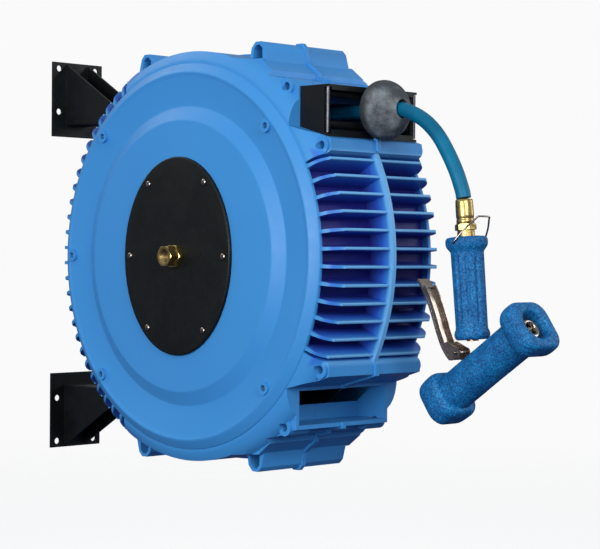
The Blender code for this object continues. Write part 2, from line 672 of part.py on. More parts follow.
def gun():
    down = handle_axis(1) - handle_axis(0)
    grip_place = along(HANDLE_TOP, down)
    barrel_place = along(BARREL_REAR, barrel_direction())
    barrel_spot = BARREL_REAR

    object_from("hose_ferrule", turned_mesh([(-0.0435, 0.0045), (-0.0155, 0.0045),
                (-0.0155, 0.0104), (-0.0400, 0.0102), (-0.0435, 0.0099)], 20, grip_place,
                ring=True), "brass", handle_axis(-0.0435))
    hex_nut("union_nut", -0.0152, -0.0080, 0.0127, 0.0062, "brass", grip_place)
    tube = object_from("handle_tube", turned_mesh([(-0.0077, 0.0045), (0.120, 0.0045),
                       (0.120, 0.0070), (0.100, 0.0070), (0.100, 0.0105), (0.000, 0.0105),
                       (-0.0077, 0.0100)], 20, grip_place, ring=True), "brass", HANDLE_TOP)
    grip = [(0.0003, 0.0108), (0.0003, 0.0225), (0.0035, 0.0245), (0.0095, 0.0245),
            (0.0140, 0.0220), (0.0175, 0.0192), (0.1060, 0.0184), (0.1095, 0.0205),
            (0.1150, 0.0205), (0.1185, 0.0180), (0.1185, 0.0110), (0.0990, 0.0108)]
    sleeve = object_from("grip_sleeve", turned_mesh(grip, 24, grip_place, ring=True),
                         "gun_blue", HANDLE_TOP)
    grooves = []
    for k in range(6):
        a = math.pi / 3 * k + math.pi / 6
        groove = Matrix.Translation((0, 0.0202 * math.cos(a), 0.0202 * math.sin(a)))
        grooves.append(turned_mesh(rod_profile(0.0215, 0.1035, 0.0020), 4, grip_place @ groove))
    cut(sleeve, *grooves)

    body = object_from("valve_body", turned_mesh(tube_profile(0.0150, 0.1440, 0.0110, 0.0165),
                       24, barrel_place, ring=True), "brass", barrel_spot)
    cut(body, turned_mesh(rod_profile(0.10, 0.17, 0.0074), 20, grip_place))
    cover = object_from("barrel_cover", turned_mesh(tube_profile(0.0143, 0.1280, 0.0168,
                        BARREL_R), 24, barrel_place, ring=True), "gun_blue", barrel_spot)
    cut(cover, turned_mesh(rod_profile(0.09, 0.138, 0.0074), 20, grip_place))
    cap = lofted([(-0.0190, rounded_square(0.0225, 0.015)), (-0.0145, rounded_square(0.0275,
                  0.016)), (0.0050, rounded_square(0.0290, 0.017)), (0.0105, rounded_square(
                  0.0280, 0.017)), (0.0140, rounded_square(0.0245, 0.016))], barrel_place)
    object_from("rear_cap", cap, "gun_blue", barrel_spot)
    bumper = lofted([(0.1283, rounded_square(0.0240, 0.015)), (0.1330, rounded_square(0.0290,
                     0.016)), (0.1380, rounded_square(0.0310, 0.017)), (0.1530,
                     rounded_square(0.0310, 0.017)), (0.1575, rounded_square(0.0280, 0.016))],
                    barrel_place)
    nose = object_from("nozzle_bumper", bumper, "gun_blue", barrel_spot)
    cut(nose, turned_mesh([(0.12, 0), (0.12, 0.0168), (0.1465, 0.0168), (0.1465, 0.0135),
                           (0.1470, 0.0135), (0.170, 0.0215), (0.170, 0)], 24, barrel_place))
    tip = turned_mesh(tube_profile(0.1445, 0.1530, 0.0068, 0.0130), 16, barrel_place,
                      ring=True)
    object_from("nozzle_tip", tip, "steel", barrel_axis(0.1445))
    stem = turned_mesh([(0.0200, 0), (0.0200, 0.0025), (0.0460, 0.0025), (0.0460, 0.0100),
                        (0.0490, 0.0100), (0.0490, 0.0025), (0.1300, 0.0025), (0.1390, 0.0058),
                        (0.1430, 0.0058), (0.1500, 0)], 12, barrel_place)
    object_from("valve_stem", stem, "steel", barrel_spot)
    coil = []
    for k in range(4 * 8 + 1):
        a = 2 * math.pi * k / 8
        coil.append(barrel_place @ Vector((0.0160 + 0.025 * k / 32, 0.0085 * math.cos(a),
                                           0.0085 * math.sin(a))))
    wire("valve_spring", coil, 0.0009, "steel", 1, barrel_spot)
    lever_and_latch()


LEVER_LINE = [(-0.3190, -0.0250), (-0.3260, -0.0345), (-0.3350, -0.0500), (-0.3430, -0.0680),
              (-0.3500, -0.0860), (-0.3570, -0.1010), (-0.3640, -0.1110), (-0.3700, -0.1170)]


def lever_and_latch():
    """Rear lever pressed from sheet, its pin, and the wire latch on the grip's flange."""
    def strip(line, front, back):
        """Side outline of a band that follows a line, from one offset to another."""
        outer, inner = [], []
        for k, (y, z) in enumerate(line):
            y0, z0 = line[max(k - 1, 0)]
            y1, z1 = line[min(k + 1, len(line) - 1)]
            length = math.hypot(y1 - y0, z1 - z0)
            ny, nz = (z1 - z0) / length, -(y1 - y0) / length
            outer.append((y + ny * front, z + nz * front))
            inner.append((y + ny * back, z + nz * back))
        return outer + inner[::-1]

    lever = object_from("trigger_lever", prism_mesh(strip(LEVER_LINE, -0.0012, 0.0012),
                        -0.0100, 0.0100), "steel", LEVER_PIVOT)
    py, pz = LEVER_PIVOT.y, LEVER_PIVOT.z
    for side in (-1, 1):
        flange = strip(LEVER_LINE[1:-1], 0.0060, -0.0006)
        add(lever, prism_mesh(flange, side * 0.0078, side * 0.0098))
        ear = [(-0.3600, -0.0985), (-0.3720, -0.1180), (py - 0.0060, pz - 0.0040),
               (py - 0.0060, pz + 0.0030), (py - 0.0010, pz + 0.0060), (-0.3650, -0.0965)]
        add(lever, prism_mesh(ear, side * 0.0076, side * 0.0096))
    cut(lever, turned_mesh(rod_profile(-0.02, 0.02, 0.0023), 12,
                           Matrix.Translation((0, py, pz))))
    pin = turned_mesh(rod_profile(-0.0125, 0.0125, 0.0020), 12,
                      Matrix.Translation((0, py, pz)))
    object_from("lever_pin", pin, "steel", LEVER_PIVOT)

    lean = math.radians(37)
    up = Vector((0, -math.sin(lean), math.cos(lean)))
    base = LATCH_PIVOT
    side = Vector((1, 0, 0))
    route = [base - side * 0.0262, base - side * 0.0258 + up * 0.006,
             base - side * 0.0200 + up * 0.022, base - side * 0.0125 + up * 0.035,
             base - side * 0.0105 + up * 0.0385, base - side * 0.0070 + up * 0.0395]
    route += [base * 2 - p + 2 * (p - base).dot(up) * up for p in route[::-1]]
    wire("latch_wire", route, 0.0011, "steel", 2, LATCH_PIVOT)


# ---------------------------------------------------------------- whole object
def main():
    for old in list(bpy.data.objects):
        bpy.data.objects.remove(old)
    axis = bpy.data.objects.new("reel_axis", None)
    bpy.context.scene.collection.objects.link(axis)
    axis.location = (0, -REEL_OUT, -BRACKET_UP)
    for word, level in (("upper", 1), ("lower", -1)):
        wall_bracket(word + "_wall_bracket", level)
        pivot_pieces(word, level)
    casing_shell("near_casing_shell", -1)
    casing_shell("far_casing_shell", 1)
    inlet_and_axle()
    drum()
    spring_and_arbor()
    pawl()
    hose_guide()
    hose()
    gun()
    for obj in bpy.data.objects:
        if obj.type == "MESH":
            obj.data.shade_smooth()
            obj.data.set_sharp_from_angle(angle=math.radians(35))


main()
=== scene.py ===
"""Looks for the wall-mounted spring-rewind hose reel: fine surfaces, materials, light and camera.

Fine pieces are built about the reel's own axis, like the CAD source, and then ride on the
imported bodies. REEL is that axis in the row frame. Metres, +Z up, wall at y = 0.
"""
import json
import math

import bmesh
import bpy
from mathutils import Matrix, Vector


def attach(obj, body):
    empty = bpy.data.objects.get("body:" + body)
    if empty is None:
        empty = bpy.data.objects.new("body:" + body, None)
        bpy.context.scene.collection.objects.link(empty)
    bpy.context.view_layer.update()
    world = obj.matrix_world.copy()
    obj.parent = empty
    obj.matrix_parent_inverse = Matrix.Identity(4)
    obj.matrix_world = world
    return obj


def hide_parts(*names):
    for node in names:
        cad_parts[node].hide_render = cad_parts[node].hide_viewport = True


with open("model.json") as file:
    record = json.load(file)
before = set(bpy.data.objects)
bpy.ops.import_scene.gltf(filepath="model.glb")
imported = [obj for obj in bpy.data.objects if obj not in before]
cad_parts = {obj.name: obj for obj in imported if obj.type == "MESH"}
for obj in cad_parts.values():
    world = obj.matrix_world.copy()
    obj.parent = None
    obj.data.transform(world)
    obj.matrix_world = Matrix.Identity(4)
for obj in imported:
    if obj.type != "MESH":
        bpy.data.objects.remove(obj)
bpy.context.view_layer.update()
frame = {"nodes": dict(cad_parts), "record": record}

REEL = Vector((0, -0.357, -0.2235))
PALE = (0.955, 0.955, 0.955)


# ---------------------------------------------------------------- camera and light
def camera():
    """Eye level with the reel, looking at its inlet side and its front from 44 degrees."""
    right = Vector((0.7164063, -0.69764164, 0.00762575))
    up = Vector((0.00263516, 0.01363574, 0.99990356))
    forward = Vector((0.69767834, 0.71631712, -0.01160713))
    data = bpy.data.cameras.new("camera")
    data.sensor_width = 36
    data.lens = 106.42
    data.clip_end = 60
    cam = bpy.data.objects.new("camera", data)
    bpy.context.scene.collection.objects.link(cam)
    turn = Matrix((right, up, -forward)).transposed().to_4x4()
    cam.matrix_world = Matrix.Translation((-1.56399, -2.07381, -0.21946)) @ turn
    bpy.context.scene.camera = cam


def area_light(name, place, aim, size, power, colour=(1, 1, 1)):
    data = bpy.data.lights.new(name, "AREA")
    data.shape = "DISK"
    data.size = size
    data.energy = power
    data.color = colour
    lamp = bpy.data.objects.new(name, data)
    bpy.context.scene.collection.objects.link(lamp)
    lamp.location = place
    lamp.rotation_mode = "QUATERNION"
    lamp.rotation_quaternion = (Vector(aim) - Vector(place)).to_track_quat("-Z", "Y")


def studio():
    middle = (0, -0.40, -0.22)
    area_light("side_light", (-2.8, -1.2, 0.15), middle, 1.5, 56)
    area_light("key_light", (-1.0, -2.9, 0.7), middle, 1.3, 31)
    area_light("far_light", (1.9, -1.8, 0.5), middle, 1.1, 9)
    area_light("back_light", (-0.6, 1.3, 1.2), middle, 1.1, 7)
    world = bpy.data.worlds.new("studio")
    world.use_nodes = True
    nodes, links = world.node_tree.nodes, world.node_tree.links
    nodes.clear()
    out = nodes.new("ShaderNodeOutputWorld")
    soft = nodes.new("ShaderNodeBackground")
    split = nodes.new("ShaderNodeSeparateXYZ")
    links.new(nodes.new("ShaderNodeTexCoord").outputs["Generated"], split.inputs["Vector"])
    height = nodes.new("ShaderNodeMapRange")
    height.interpolation_type = "SMOOTHSTEP"
    height.inputs["From Min"].default_value = -0.45
    height.inputs["From Max"].default_value = 0.75
    height.inputs["To Min"].default_value = 0.12
    height.inputs["To Max"].default_value = 0.46
    links.new(split.outputs["Z"], height.inputs["Value"])
    links.new(height.outputs["Result"], soft.inputs["Strength"])
    rise = nodes.new("ShaderNodeMapRange")
    rise.inputs["From Min"].default_value = -0.6
    rise.inputs["From Max"].default_value = 0.3
    links.new(split.outputs["Z"], rise.inputs["Value"])
    tint = nodes.new("ShaderNodeMix")
    tint.data_type = "RGBA"
    tint.inputs[6].default_value = (0.42, 0.44, 1.0, 1)
    tint.inputs[7].default_value = (0.93, 0.96, 1.0, 1)
    links.new(rise.outputs["Result"], tint.inputs["Factor"])
    links.new(tint.outputs[2], soft.inputs["Color"])
    seen = nodes.new("ShaderNodeBackground")
    seen.inputs["Color"].default_value = (*PALE, 1)
    path = nodes.new("ShaderNodeLightPath")
    mix = nodes.new("ShaderNodeMixShader")
    links.new(path.outputs["Is Camera Ray"], mix.inputs["Fac"])
    links.new(soft.outputs["Background"], mix.inputs[1])
    links.new(seen.outputs["Background"], mix.inputs[2])
    links.new(mix.outputs["Shader"], out.inputs["Surface"])
    bpy.context.scene.world = world
    bpy.context.scene.view_settings.view_transform = "Standard"
    floor()


def floor():
    """Pale round floor well below the reel; it fades into the backdrop towards its edge."""
    mesh = bpy.data.meshes.new("floor")
    reach, level = 12.0, -1.05
    corners = [(reach * math.cos(a), reach * math.sin(a), level)
               for a in (math.pi * k / 24 for k in range(48))]
    mesh.from_pydata(corners, [], [tuple(range(48))])
    ground = bpy.data.objects.new("floor", mesh)
    bpy.context.scene.collection.objects.link(ground)
    pale = Surface("pale_floor", (0.80, 0.80, 0.80), 0.9)
    pale.shader.inputs["Emission Color"].default_value = (*PALE, 1)
    pale.shader.inputs["Emission Strength"].default_value = 0.55
    length = pale.nodes.new("ShaderNodeVectorMath")
    length.operation = "LENGTH"
    pale.links.new(pale.place, length.inputs[0])
    fade = pale.ranged(length.outputs["Value"], 1.2, 5.5, 1.0, 0.0)
    pale.links.new(fade, pale.shader.inputs["Alpha"])
    mesh.materials.append(pale.material)
    ground.visible_diffuse = False
    ground.visible_glossy = False


# ---------------------------------------------------------------- materials
def linear(r, g, b):
    """8-bit display colour to the scene's linear colour."""
    return tuple(((c / 255 + 0.055) / 1.055) ** 2.4 if c > 10 else c / 3294 for c in (r, g, b))


class Surface:
    """A Principled material with short helpers for the nodes that shape its colour."""

    def __init__(self, name, colour, roughness, metallic=0.0):
        self.material = bpy.data.materials.new(name)
        self.material.use_nodes = True
        self.nodes = self.material.node_tree.nodes
        self.links = self.material.node_tree.links
        self.shader = self.nodes["Principled BSDF"]
        self.shader.inputs["Base Color"].default_value = (*colour, 1)
        self.shader.inputs["Roughness"].default_value = roughness
        self.shader.inputs["Metallic"].default_value = metallic
        self.place = self.nodes.new("ShaderNodeTexCoord").outputs["Object"]
        self.material.diffuse_color = (*colour, 1)

    def stretched(self, scale):
        mapping = self.nodes.new("ShaderNodeMapping")
        mapping.inputs["Scale"].default_value = scale
        self.links.new(self.place, mapping.inputs["Vector"])
        return mapping.outputs["Vector"]

    def noise(self, scale, detail=3.0, vector=None, roughness=0.5):
        node = self.nodes.new("ShaderNodeTexNoise")
        node.inputs["Scale"].default_value = scale
        node.inputs["Detail"].default_value = detail
        node.inputs["Roughness"].default_value = roughness
        self.links.new(vector or self.place, node.inputs["Vector"])
        return node.outputs["Fac"]

    def cells(self, scale):
        node = self.nodes.new("ShaderNodeTexVoronoi")
        node.feature = "SMOOTH_F1"
        node.inputs["Scale"].default_value = scale
        node.inputs["Smoothness"].default_value = 0.6
        self.links.new(self.place, node.inputs["Vector"])
        return node.outputs["Distance"]

    def ranged(self, value, low, high, to_low, to_high):
        node = self.nodes.new("ShaderNodeMapRange")
        node.inputs["From Min"].default_value = low
        node.inputs["From Max"].default_value = high
        node.inputs["To Min"].default_value = to_low
        node.inputs["To Max"].default_value = to_high
        self.links.new(value, node.inputs["Value"])
        return node.outputs["Result"]

    def math(self, operation, a, b=None):
        node = self.nodes.new("ShaderNodeMath")
        node.operation = operation
        for slot, value in zip(node.inputs, (a, b)):
            if isinstance(value, (int, float)):
                slot.default_value = value
            elif value is not None:
                self.links.new(value, slot)
        return node.outputs["Value"]

    def mixed(self, factor, a, b):
        node = self.nodes.new("ShaderNodeMix")
        node.data_type = "RGBA"
        self.links.new(factor, node.inputs["Factor"])
        for index, value in ((6, a), (7, b)):
            if isinstance(value, tuple):
                node.inputs[index].default_value = (*value, 1)
            else:
                self.links.new(value, node.inputs[index])
        return node.outputs[2]

    def bump(self, height, distance, strength=1.0):
        node = self.nodes.new("ShaderNodeBump")
        node.inputs["Strength"].default_value = strength
        node.inputs["Distance"].default_value = distance
        self.links.new(height, node.inputs["Height"])
        before = self.shader.inputs["Normal"].links
        if before:
            self.links.new(before[0].from_socket, node.inputs["Normal"])
        self.links.new(node.outputs["Normal"], self.shader.inputs["Normal"])

    def colour(self, value):
        self.links.new(value, self.shader.inputs["Base Color"])

    def roughness(self, value):
        self.links.new(value, self.shader.inputs["Roughness"])


CASING_BLUE = linear(58, 137, 204)
# Painted shade for the gaps between fins: the first colour below darkens their bottom, the second
# their middle.
CASING_PAINTED_SHADE = linear(34, 38, 128)
CASING_HALF_SHADE = linear(44, 96, 204)


def casing_material():
    """Satin moulded plastic, with painted shade that deepens towards the bottom of the gaps
    between fins and a painted highlight along the fin tips.
    """
    s = Surface("casing_blue_fine", CASING_BLUE, 0.42)
    split = s.nodes.new("ShaderNodeSeparateXYZ")
    s.links.new(s.place, split.inputs["Vector"])
    x, y, z = (split.outputs[k] for k in "XYZ")
    radius = s.math("SQRT", s.math("ADD", s.math("MULTIPLY", y, y), s.math("MULTIPLY", z, z)))
    # Painted shade: the colour darkens from the fin tips towards the bottom of the gaps between
    # fins; the masks below keep it to the finned sectors.
    depth = s.ranged(radius, 0.2365, 0.2600, 0.0, 1.0)
    outside = s.ranged(s.math("ABSOLUTE", x), 0.0915, 0.0945, 0.0, 1.0)
    gap_shade = s.mixed(depth, CASING_PAINTED_SHADE, CASING_HALF_SHADE)
    tip = s.ranged(radius, 0.2560, 0.2700, 0.0, 1.0)
    finned = s.mixed(tip, gap_shade, CASING_BLUE)
    flow = s.noise(5.0, 2.0)
    cover = s.mixed(s.ranged(flow, 0.35, 0.7, 0.0, 0.55), CASING_BLUE, linear(66, 143, 208))
    # Painted highlight: a paler blue along the fin tips.
    edge = s.ranged(radius, 0.2655, 0.2695, 0.0, 0.8)
    finned = s.mixed(edge, finned, linear(112, 180, 232))
    sector = s.ranged(y, -0.02, 0.02, 0.127, 0.238)
    above = s.math("SUBTRACT", s.math("ABSOLUTE", z), sector)
    plain = s.math("MAXIMUM", outside, s.ranged(above, -0.003, 0.003, 0.0, 1.0))
    s.colour(s.mixed(plain, finned, cover))
    grain = s.noise(900.0, 2.0)
    s.roughness(s.ranged(s.noise(60.0, 4.0), 0.3, 0.7, 0.36, 0.48))
    s.bump(grain, 0.00006, 0.5)
    s.shader.inputs["Specular IOR Level"].default_value = 0.32
    return s.material


def black_plastic(name, colour, roughness):
    s = Surface(name, colour, roughness)
    patches = s.noise(35.0, 4.0)
    s.roughness(s.ranged(patches, 0.3, 0.7, roughness - 0.06, roughness + 0.10))
    lighter = tuple(c * 1.8 + 0.002 for c in colour)
    s.colour(s.mixed(s.ranged(s.noise(180.0, 5.0), 0.45, 0.8, 0.0, 0.6), colour, lighter))
    s.bump(s.noise(1400.0, 2.0), 0.00005, 0.6)
    s.shader.inputs["Specular IOR Level"].default_value = 0.22
    return s.material


def powder_coat():
    s = Surface("bracket_black_fine", linear(15, 19, 20), 0.42)
    s.shader.inputs["Specular IOR Level"].default_value = 0.25
    s.bump(s.cells(1100.0), 0.00008, 0.5)
    dust = s.ranged(s.noise(28.0, 5.0), 0.5, 0.8, 0.0, 0.5)
    s.colour(s.mixed(dust, linear(13, 17, 18), linear(30, 35, 37)))
    s.roughness(s.ranged(s.noise(70.0, 3.0), 0.3, 0.7, 0.34, 0.52))
    return s.material


def stop_rubber():
    """Grey-black moulded rubber with a bloom of grey dust, and painted light that makes the front
    face paler than the body.
    """
    s = Surface("stop_rubber_fine", linear(44, 48, 51), 0.72)
    bloom = s.ranged(s.noise(45.0, 6.0, roughness=0.65), 0.42, 0.68, 0.0, 1.0)
    split = s.nodes.new("ShaderNodeSeparateXYZ")
    s.links.new(s.place, split.inputs["Vector"])
    # Painted light: the front face, on the side where the light falls, takes a paler colour than
    # the body; the bloom on both is dust.
    face = s.ranged(split.outputs["Y"], -0.264, -0.254, 1.0, 0.0)
    wear_and_painted_light = s.mixed(bloom, linear(56, 63, 68), linear(124, 133, 138))
    body = s.mixed(bloom, linear(24, 28, 31), linear(58, 64, 68))
    s.colour(s.mixed(face, body, wear_and_painted_light))
    s.bump(s.noise(520.0, 5.0), 0.00022, 0.7)
    s.bump(s.noise(120.0, 3.0), 0.0003, 0.5)
    return s.material


def hose_skin():
    s = Surface("hose_teal_fine", linear(0, 104, 140), 0.42)
    shade = s.ranged(s.noise(22.0, 3.0), 0.35, 0.7, 0.0, 1.0)
    s.colour(s.mixed(shade, linear(0, 92, 126), linear(2, 114, 152)))
    s.bump(s.noise(700.0, 2.0), 0.00005, 0.5)
    s.shader.inputs["Specular IOR Level"].default_value = 0.22
    return s.material


def gun_rubber():
    """Pebbled blue rubber: raised grains with painted shade between them, paler where it is
    rubbed.
    """
    s = Surface("gun_blue_fine", linear(26, 118, 182), 0.58)
    pebble = s.cells(430.0)
    swell = s.noise(260.0, 4.0)
    wear_and_painted_light = s.ranged(s.noise(55.0, 5.0, roughness=0.65), 0.38, 0.68, 0.0, 1.0)
    base = s.mixed(wear_and_painted_light, linear(2, 106, 172), linear(26, 146, 214))
    specks = s.ranged(s.noise(620.0, 4.0, roughness=0.7), 0.44, 0.62, 0.0, 0.75)
    base = s.mixed(specks, base, linear(0, 62, 112))
    # Painted shade: the colour darkens between the grains, away from each grain's centre.
    s.colour(s.mixed(s.ranged(pebble, 0.30, 0.75, 0.0, 0.7), base, linear(2, 56, 108)))
    s.bump(pebble, 0.0010, 0.7)
    s.bump(swell, 0.0005, 0.5)
    s.roughness(s.ranged(pebble, 0.0, 0.8, 0.46, 0.70))
    s.shader.inputs["Specular IOR Level"].default_value = 0.35
    return s.material


def metal(name, colour, roughness, stain, streak=(1, 1, 1), grain=0.00003):
    """Turned or brushed metal: fine streaks, and blotches of an older, duller tone."""
    s = Surface(name, colour, roughness, 1.0)
    blotch = s.ranged(s.noise(70.0, 5.0, roughness=0.6), 0.45, 0.75, 0.0, 0.7)
    s.colour(s.mixed(blotch, colour, stain))
    lines = s.noise(900.0, 3.0, s.stretched(streak))
    s.roughness(s.ranged(lines, 0.3, 0.7, roughness - 0.07, roughness + 0.10))
    s.bump(lines, grain, 0.5)
    return s.material


def nylon():
    s = Surface("nylon_fine", linear(214, 212, 202), 0.45)
    s.shader.inputs["Subsurface Weight"].default_value = 0.1
    s.bump(s.noise(800.0, 2.0), 0.00004, 0.4)
    s.colour(s.mixed(s.noise(30.0, 3.0), linear(206, 203, 190), linear(224, 223, 216)))
    return s.material


def make_materials():
    brass = linear(196, 172, 112)
    return {
        "casing_blue": casing_material(),
        "bracket_black": powder_coat(),
        "plate_black": black_plastic("plate_black_fine", linear(13, 17, 17), 0.46),
        "guide_black": black_plastic("guide_black_fine", linear(16, 18, 20), 0.40),
        "stop_rubber": stop_rubber(),
        "brass": metal("brass_fine", brass, 0.32, linear(132, 106, 58), (1, 1, 0.05)),
        "steel": metal("steel_fine", linear(178, 168, 158), 0.20, linear(98, 78, 62),
                       (1, 1, 0.08)),
        "zinc": metal("zinc_fine", linear(176, 180, 184), 0.38, linear(132, 134, 138)),
        "nylon": nylon(),
        "hose_teal": hose_skin(),
        "gun_blue": gun_rubber(),
    }


# ---------------------------------------------------------------- mesh tools
def prism(outline, x0, x1):
    bm = bmesh.new()
    face = bm.faces.new([bm.verts.new((x0, y, z)) for y, z in outline])
    pushed = bmesh.ops.extrude_face_region(bm, geom=[face])
    tips = [g for g in pushed["geom"] if isinstance(g, bmesh.types.BMVert)]
    bmesh.ops.translate(bm, verts=tips, vec=(x1 - x0, 0, 0))
    bmesh.ops.recalc_face_normals(bm, faces=bm.faces)
    return bm


def turned(profile, sides=64, place=None, ring=False):
    """Spin (height, radius) points about +X, or about the X axis of a placing matrix."""
    bm = bmesh.new()
    rows = []
    for height, radius in profile:
        if radius < 1e-7:
            rows.append([bm.verts.new((height, 0, 0))])
            continue
        turn = [2 * math.pi * k / sides for k in range(sides)]
        rows.append([bm.verts.new((height, radius * math.cos(a), radius * math.sin(a)))
                     for a in turn])
    pairs = list(zip(rows, rows[1:]))
    if ring:
        pairs.append((rows[-1], rows[0]))
    for low, high in pairs:
        for k in range(sides):
            n = (k + 1) % sides
            corner = [low[k % len(low)], low[n % len(low)],
                      high[n % len(high)], high[k % len(high)]]
            bm.faces.new(list(dict.fromkeys(corner)))
    if place:
        bmesh.ops.transform(bm, matrix=place, verts=bm.verts)
    bmesh.ops.recalc_face_normals(bm, faces=bm.faces)
    return bm


def rod(h0, h1, radius):
    return [(h0, 0), (h0, radius), (h1, radius), (h1, 0)]


def tube(h0, h1, inner, outer):
    return [(h0, inner), (h1, inner), (h1, outer), (h0, outer)]


def softened(profile, by, steps=3, closed=False):
    """Profile with each inner corner replaced by a short arc."""
    points = [Vector(p) for p in profile]
    made = []
    count = len(points)
    for k, corner in enumerate(points):
        if not closed and k in (0, count - 1):
            made.append(tuple(corner))
            continue
        before = points[k - 1] - corner
        after = points[(k + 1) % count] - corner
        reach = min(by, before.length * 0.45, after.length * 0.45)
        start = corner + before.normalized() * reach
        end = corner + after.normalized() * reach
        for step in range(steps + 1):
            t = step / steps
            made.append(tuple((1 - t) ** 2 * start + 2 * t * (1 - t) * corner + t * t * end))
    return made


def along(start, direction):
    turn = Vector(direction).to_track_quat("X", "Z").to_matrix().to_4x4()
    return Matrix.Translation(Vector(start)) @ turn


def solid(name, bm):
    mesh = bpy.data.meshes.new(name)
    bm.to_mesh(mesh)
    bm.free()
    obj = bpy.data.objects.new(name, mesh)
    bpy.context.scene.collection.objects.link(obj)
    return obj


def combine(target, tools, operation):
    """Boolean with one or more solids, carried out at once."""
    group = bpy.data.collections.new("tools")
    bpy.context.scene.collection.children.link(group)
    helpers = [solid("tool", bm) for bm in tools]
    for helper in helpers:
        group.objects.link(helper)
    change = target.modifiers.new("change", "BOOLEAN")
    change.operation = operation
    change.solver = "EXACT"
    change.operand_type = "COLLECTION"
    change.collection = group
    bake(target)
    for helper in helpers:
        bpy.data.objects.remove(helper)
    bpy.data.collections.remove(group)


def bake(obj):
    """Carry out an object's modifiers."""
    bpy.context.view_layer.update()
    seen = obj.evaluated_get(bpy.context.evaluated_depsgraph_get())
    result = bpy.data.meshes.new_from_object(seen)
    obj.modifiers.clear()
    old = obj.data
    result.name = obj.name
    obj.data = result
    bpy.data.meshes.remove(old)


def add(target, *solids):
    combine(target, solids, "UNION")


def cut(target, *solids):
    combine(target, solids, "DIFFERENCE")


def round_edges(obj, width, segments=2, angle=35):
    flat = bmesh.new()
    flat.from_mesh(obj.data)
    bmesh.ops.remove_doubles(flat, verts=flat.verts, dist=2e-6)
    bmesh.ops.dissolve_limit(flat, angle_limit=math.radians(0.4), verts=flat.verts,
                             edges=flat.edges)
    flat.to_mesh(obj.data)
    flat.free()
    bevel = obj.modifiers.new("edges", "BEVEL")
    bevel.width = width
    bevel.segments = segments
    bevel.limit_method = "ANGLE"
    bevel.angle_limit = math.radians(angle)
    bevel.harden_normals = False


def finish_piece(obj, finish, stands_for=(), body=None, sharp=40):
    """Shade, place, paint and hang one piece on the body of the CAD nodes it stands for."""
    if obj.type == "MESH":
        obj.data.shade_smooth()
        obj.data.set_sharp_from_angle(angle=math.radians(sharp))
    obj.location = REEL
    obj.data.materials.clear()
    obj.data.materials.append(MATERIALS[finish])
    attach(obj, body or BODY[stands_for[0]])
    if stands_for:
        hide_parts(*stands_for)
    return obj


def screw_head(name, side, x, y, z, radius, finish="steel", body=None, stands_for=()):
    """Pan head with a cross recess; it faces -X or +X."""
    profile = [(side * x, 0), (side * x, radius), (side * (x + 0.0012), radius),
               (side * (x + 0.0020), radius * 0.86), (side * (x + 0.0024), radius * 0.6),
               (side * (x + 0.0025), 0)]
    screw = solid(name, turned(profile, 32, Matrix.Translation((0, y, z))))
    arms = []
    for half_y, half_z in ((0.0005, radius * 0.55), (radius * 0.55, 0.0005)):
        box = [(y - half_y, z - half_z), (y + half_y, z - half_z),
               (y + half_y, z + half_z), (y - half_y, z + half_z)]
        arms.append(prism(box, side * (x + 0.0011), side * (x + 0.006)))
    cut(screw, *arms)
    finish_piece(screw, finish, stands_for, body)


# ---------------------------------------------------------------- casing
RIM_R, RIM_X = 0.245, 0.098
FIN_R, BASE_R, BORE_R, CROWN_R = 0.270, 0.236, 0.231, 0.260
CORNER_X, FOOT_X, FOOT_TOP = 0.080, 0.072, 0.266
FIN_PITCH, FIN_THICK = math.radians(4.72), 0.0034
FRONT_FINS, BACK_FINS = 12, 26
MOUTH_Z = 0.178
SEAM = 0.00015

MOUTH_CORNER = [(-0.2437, 0.1266), (-0.2437, 0.1410), (-0.2310, 0.1450), (-0.1890, 0.1570),
                (-0.1890, 0.2080), (-0.1640, 0.2110), (-0.1640, 0.2160), (-0.1430, 0.2210),
                (-0.1420, 0.2280), (-0.1220, 0.2430)]
FOOT_FACE = [(-0.1190, 0.2600), (-0.1130, FOOT_TOP), (-0.1030, FOOT_TOP),
             (-0.0960, 0.2590), (-0.0930, 0.2440)]
BACK_CORNER = [(0.0930, 0.2440), (0.0960, 0.2590), (0.1030, FOOT_TOP), (0.1130, FOOT_TOP),
               (0.1200, 0.2600), (0.1260, 0.2370)]


def polar(radius, angle):
    """(y, z) at an angle measured from the front (-Y), rising towards +Z."""
    return (-radius * math.cos(angle), radius * math.sin(angle))


def arc(radius, start, end, steps):
    return [polar(radius, start + (end - start) * k / steps) for k in range(steps + 1)]


def flip(points, back=False, down=False):
    return [(-y if back else y, -z if down else z) for y, z in points]


def fin_sector(middle, count, toothed):
    half = count * FIN_PITCH / 2
    if not toothed:
        return arc(FIN_R, middle - half, middle + half, count * 2)
    points = []
    for k in range(count):
        centre = middle - half + (k + 0.5) * FIN_PITCH
        tip = FIN_THICK / 2 / FIN_R
        root = 0.75 * FIN_THICK / BASE_R
        points += [polar(BASE_R, centre - 2 * root), polar(BASE_R + 0.002, centre - root),
                   polar(FIN_R - 0.0006, centre - tip), polar(FIN_R, centre - tip * 0.5),
                   polar(FIN_R, centre + tip * 0.5), polar(FIN_R - 0.0006, centre + tip),
                   polar(BASE_R + 0.002, centre + root), polar(BASE_R, centre + 2 * root)]
    return points


def casing_outline(toothed, feet=True):
    top_front = MOUTH_CORNER + (FOOT_FACE if feet else [])
    crown = arc(CROWN_R, math.radians(71), math.radians(109), 24)
    top_back = BACK_CORNER if feet else BACK_CORNER[-1:]
    upper = top_front + crown + top_back
    lower = flip(upper, down=True)[::-1]
    front = fin_sector(0, FRONT_FINS, toothed)
    back = fin_sector(math.pi, BACK_FINS, toothed)
    return front + upper + back + lower


def swollen(outline, by):
    grown = []
    for y, z in outline:
        r = math.hypot(y, z)
        grown.append((y * (r + by) / r, z * (r + by) / r))
    return grown


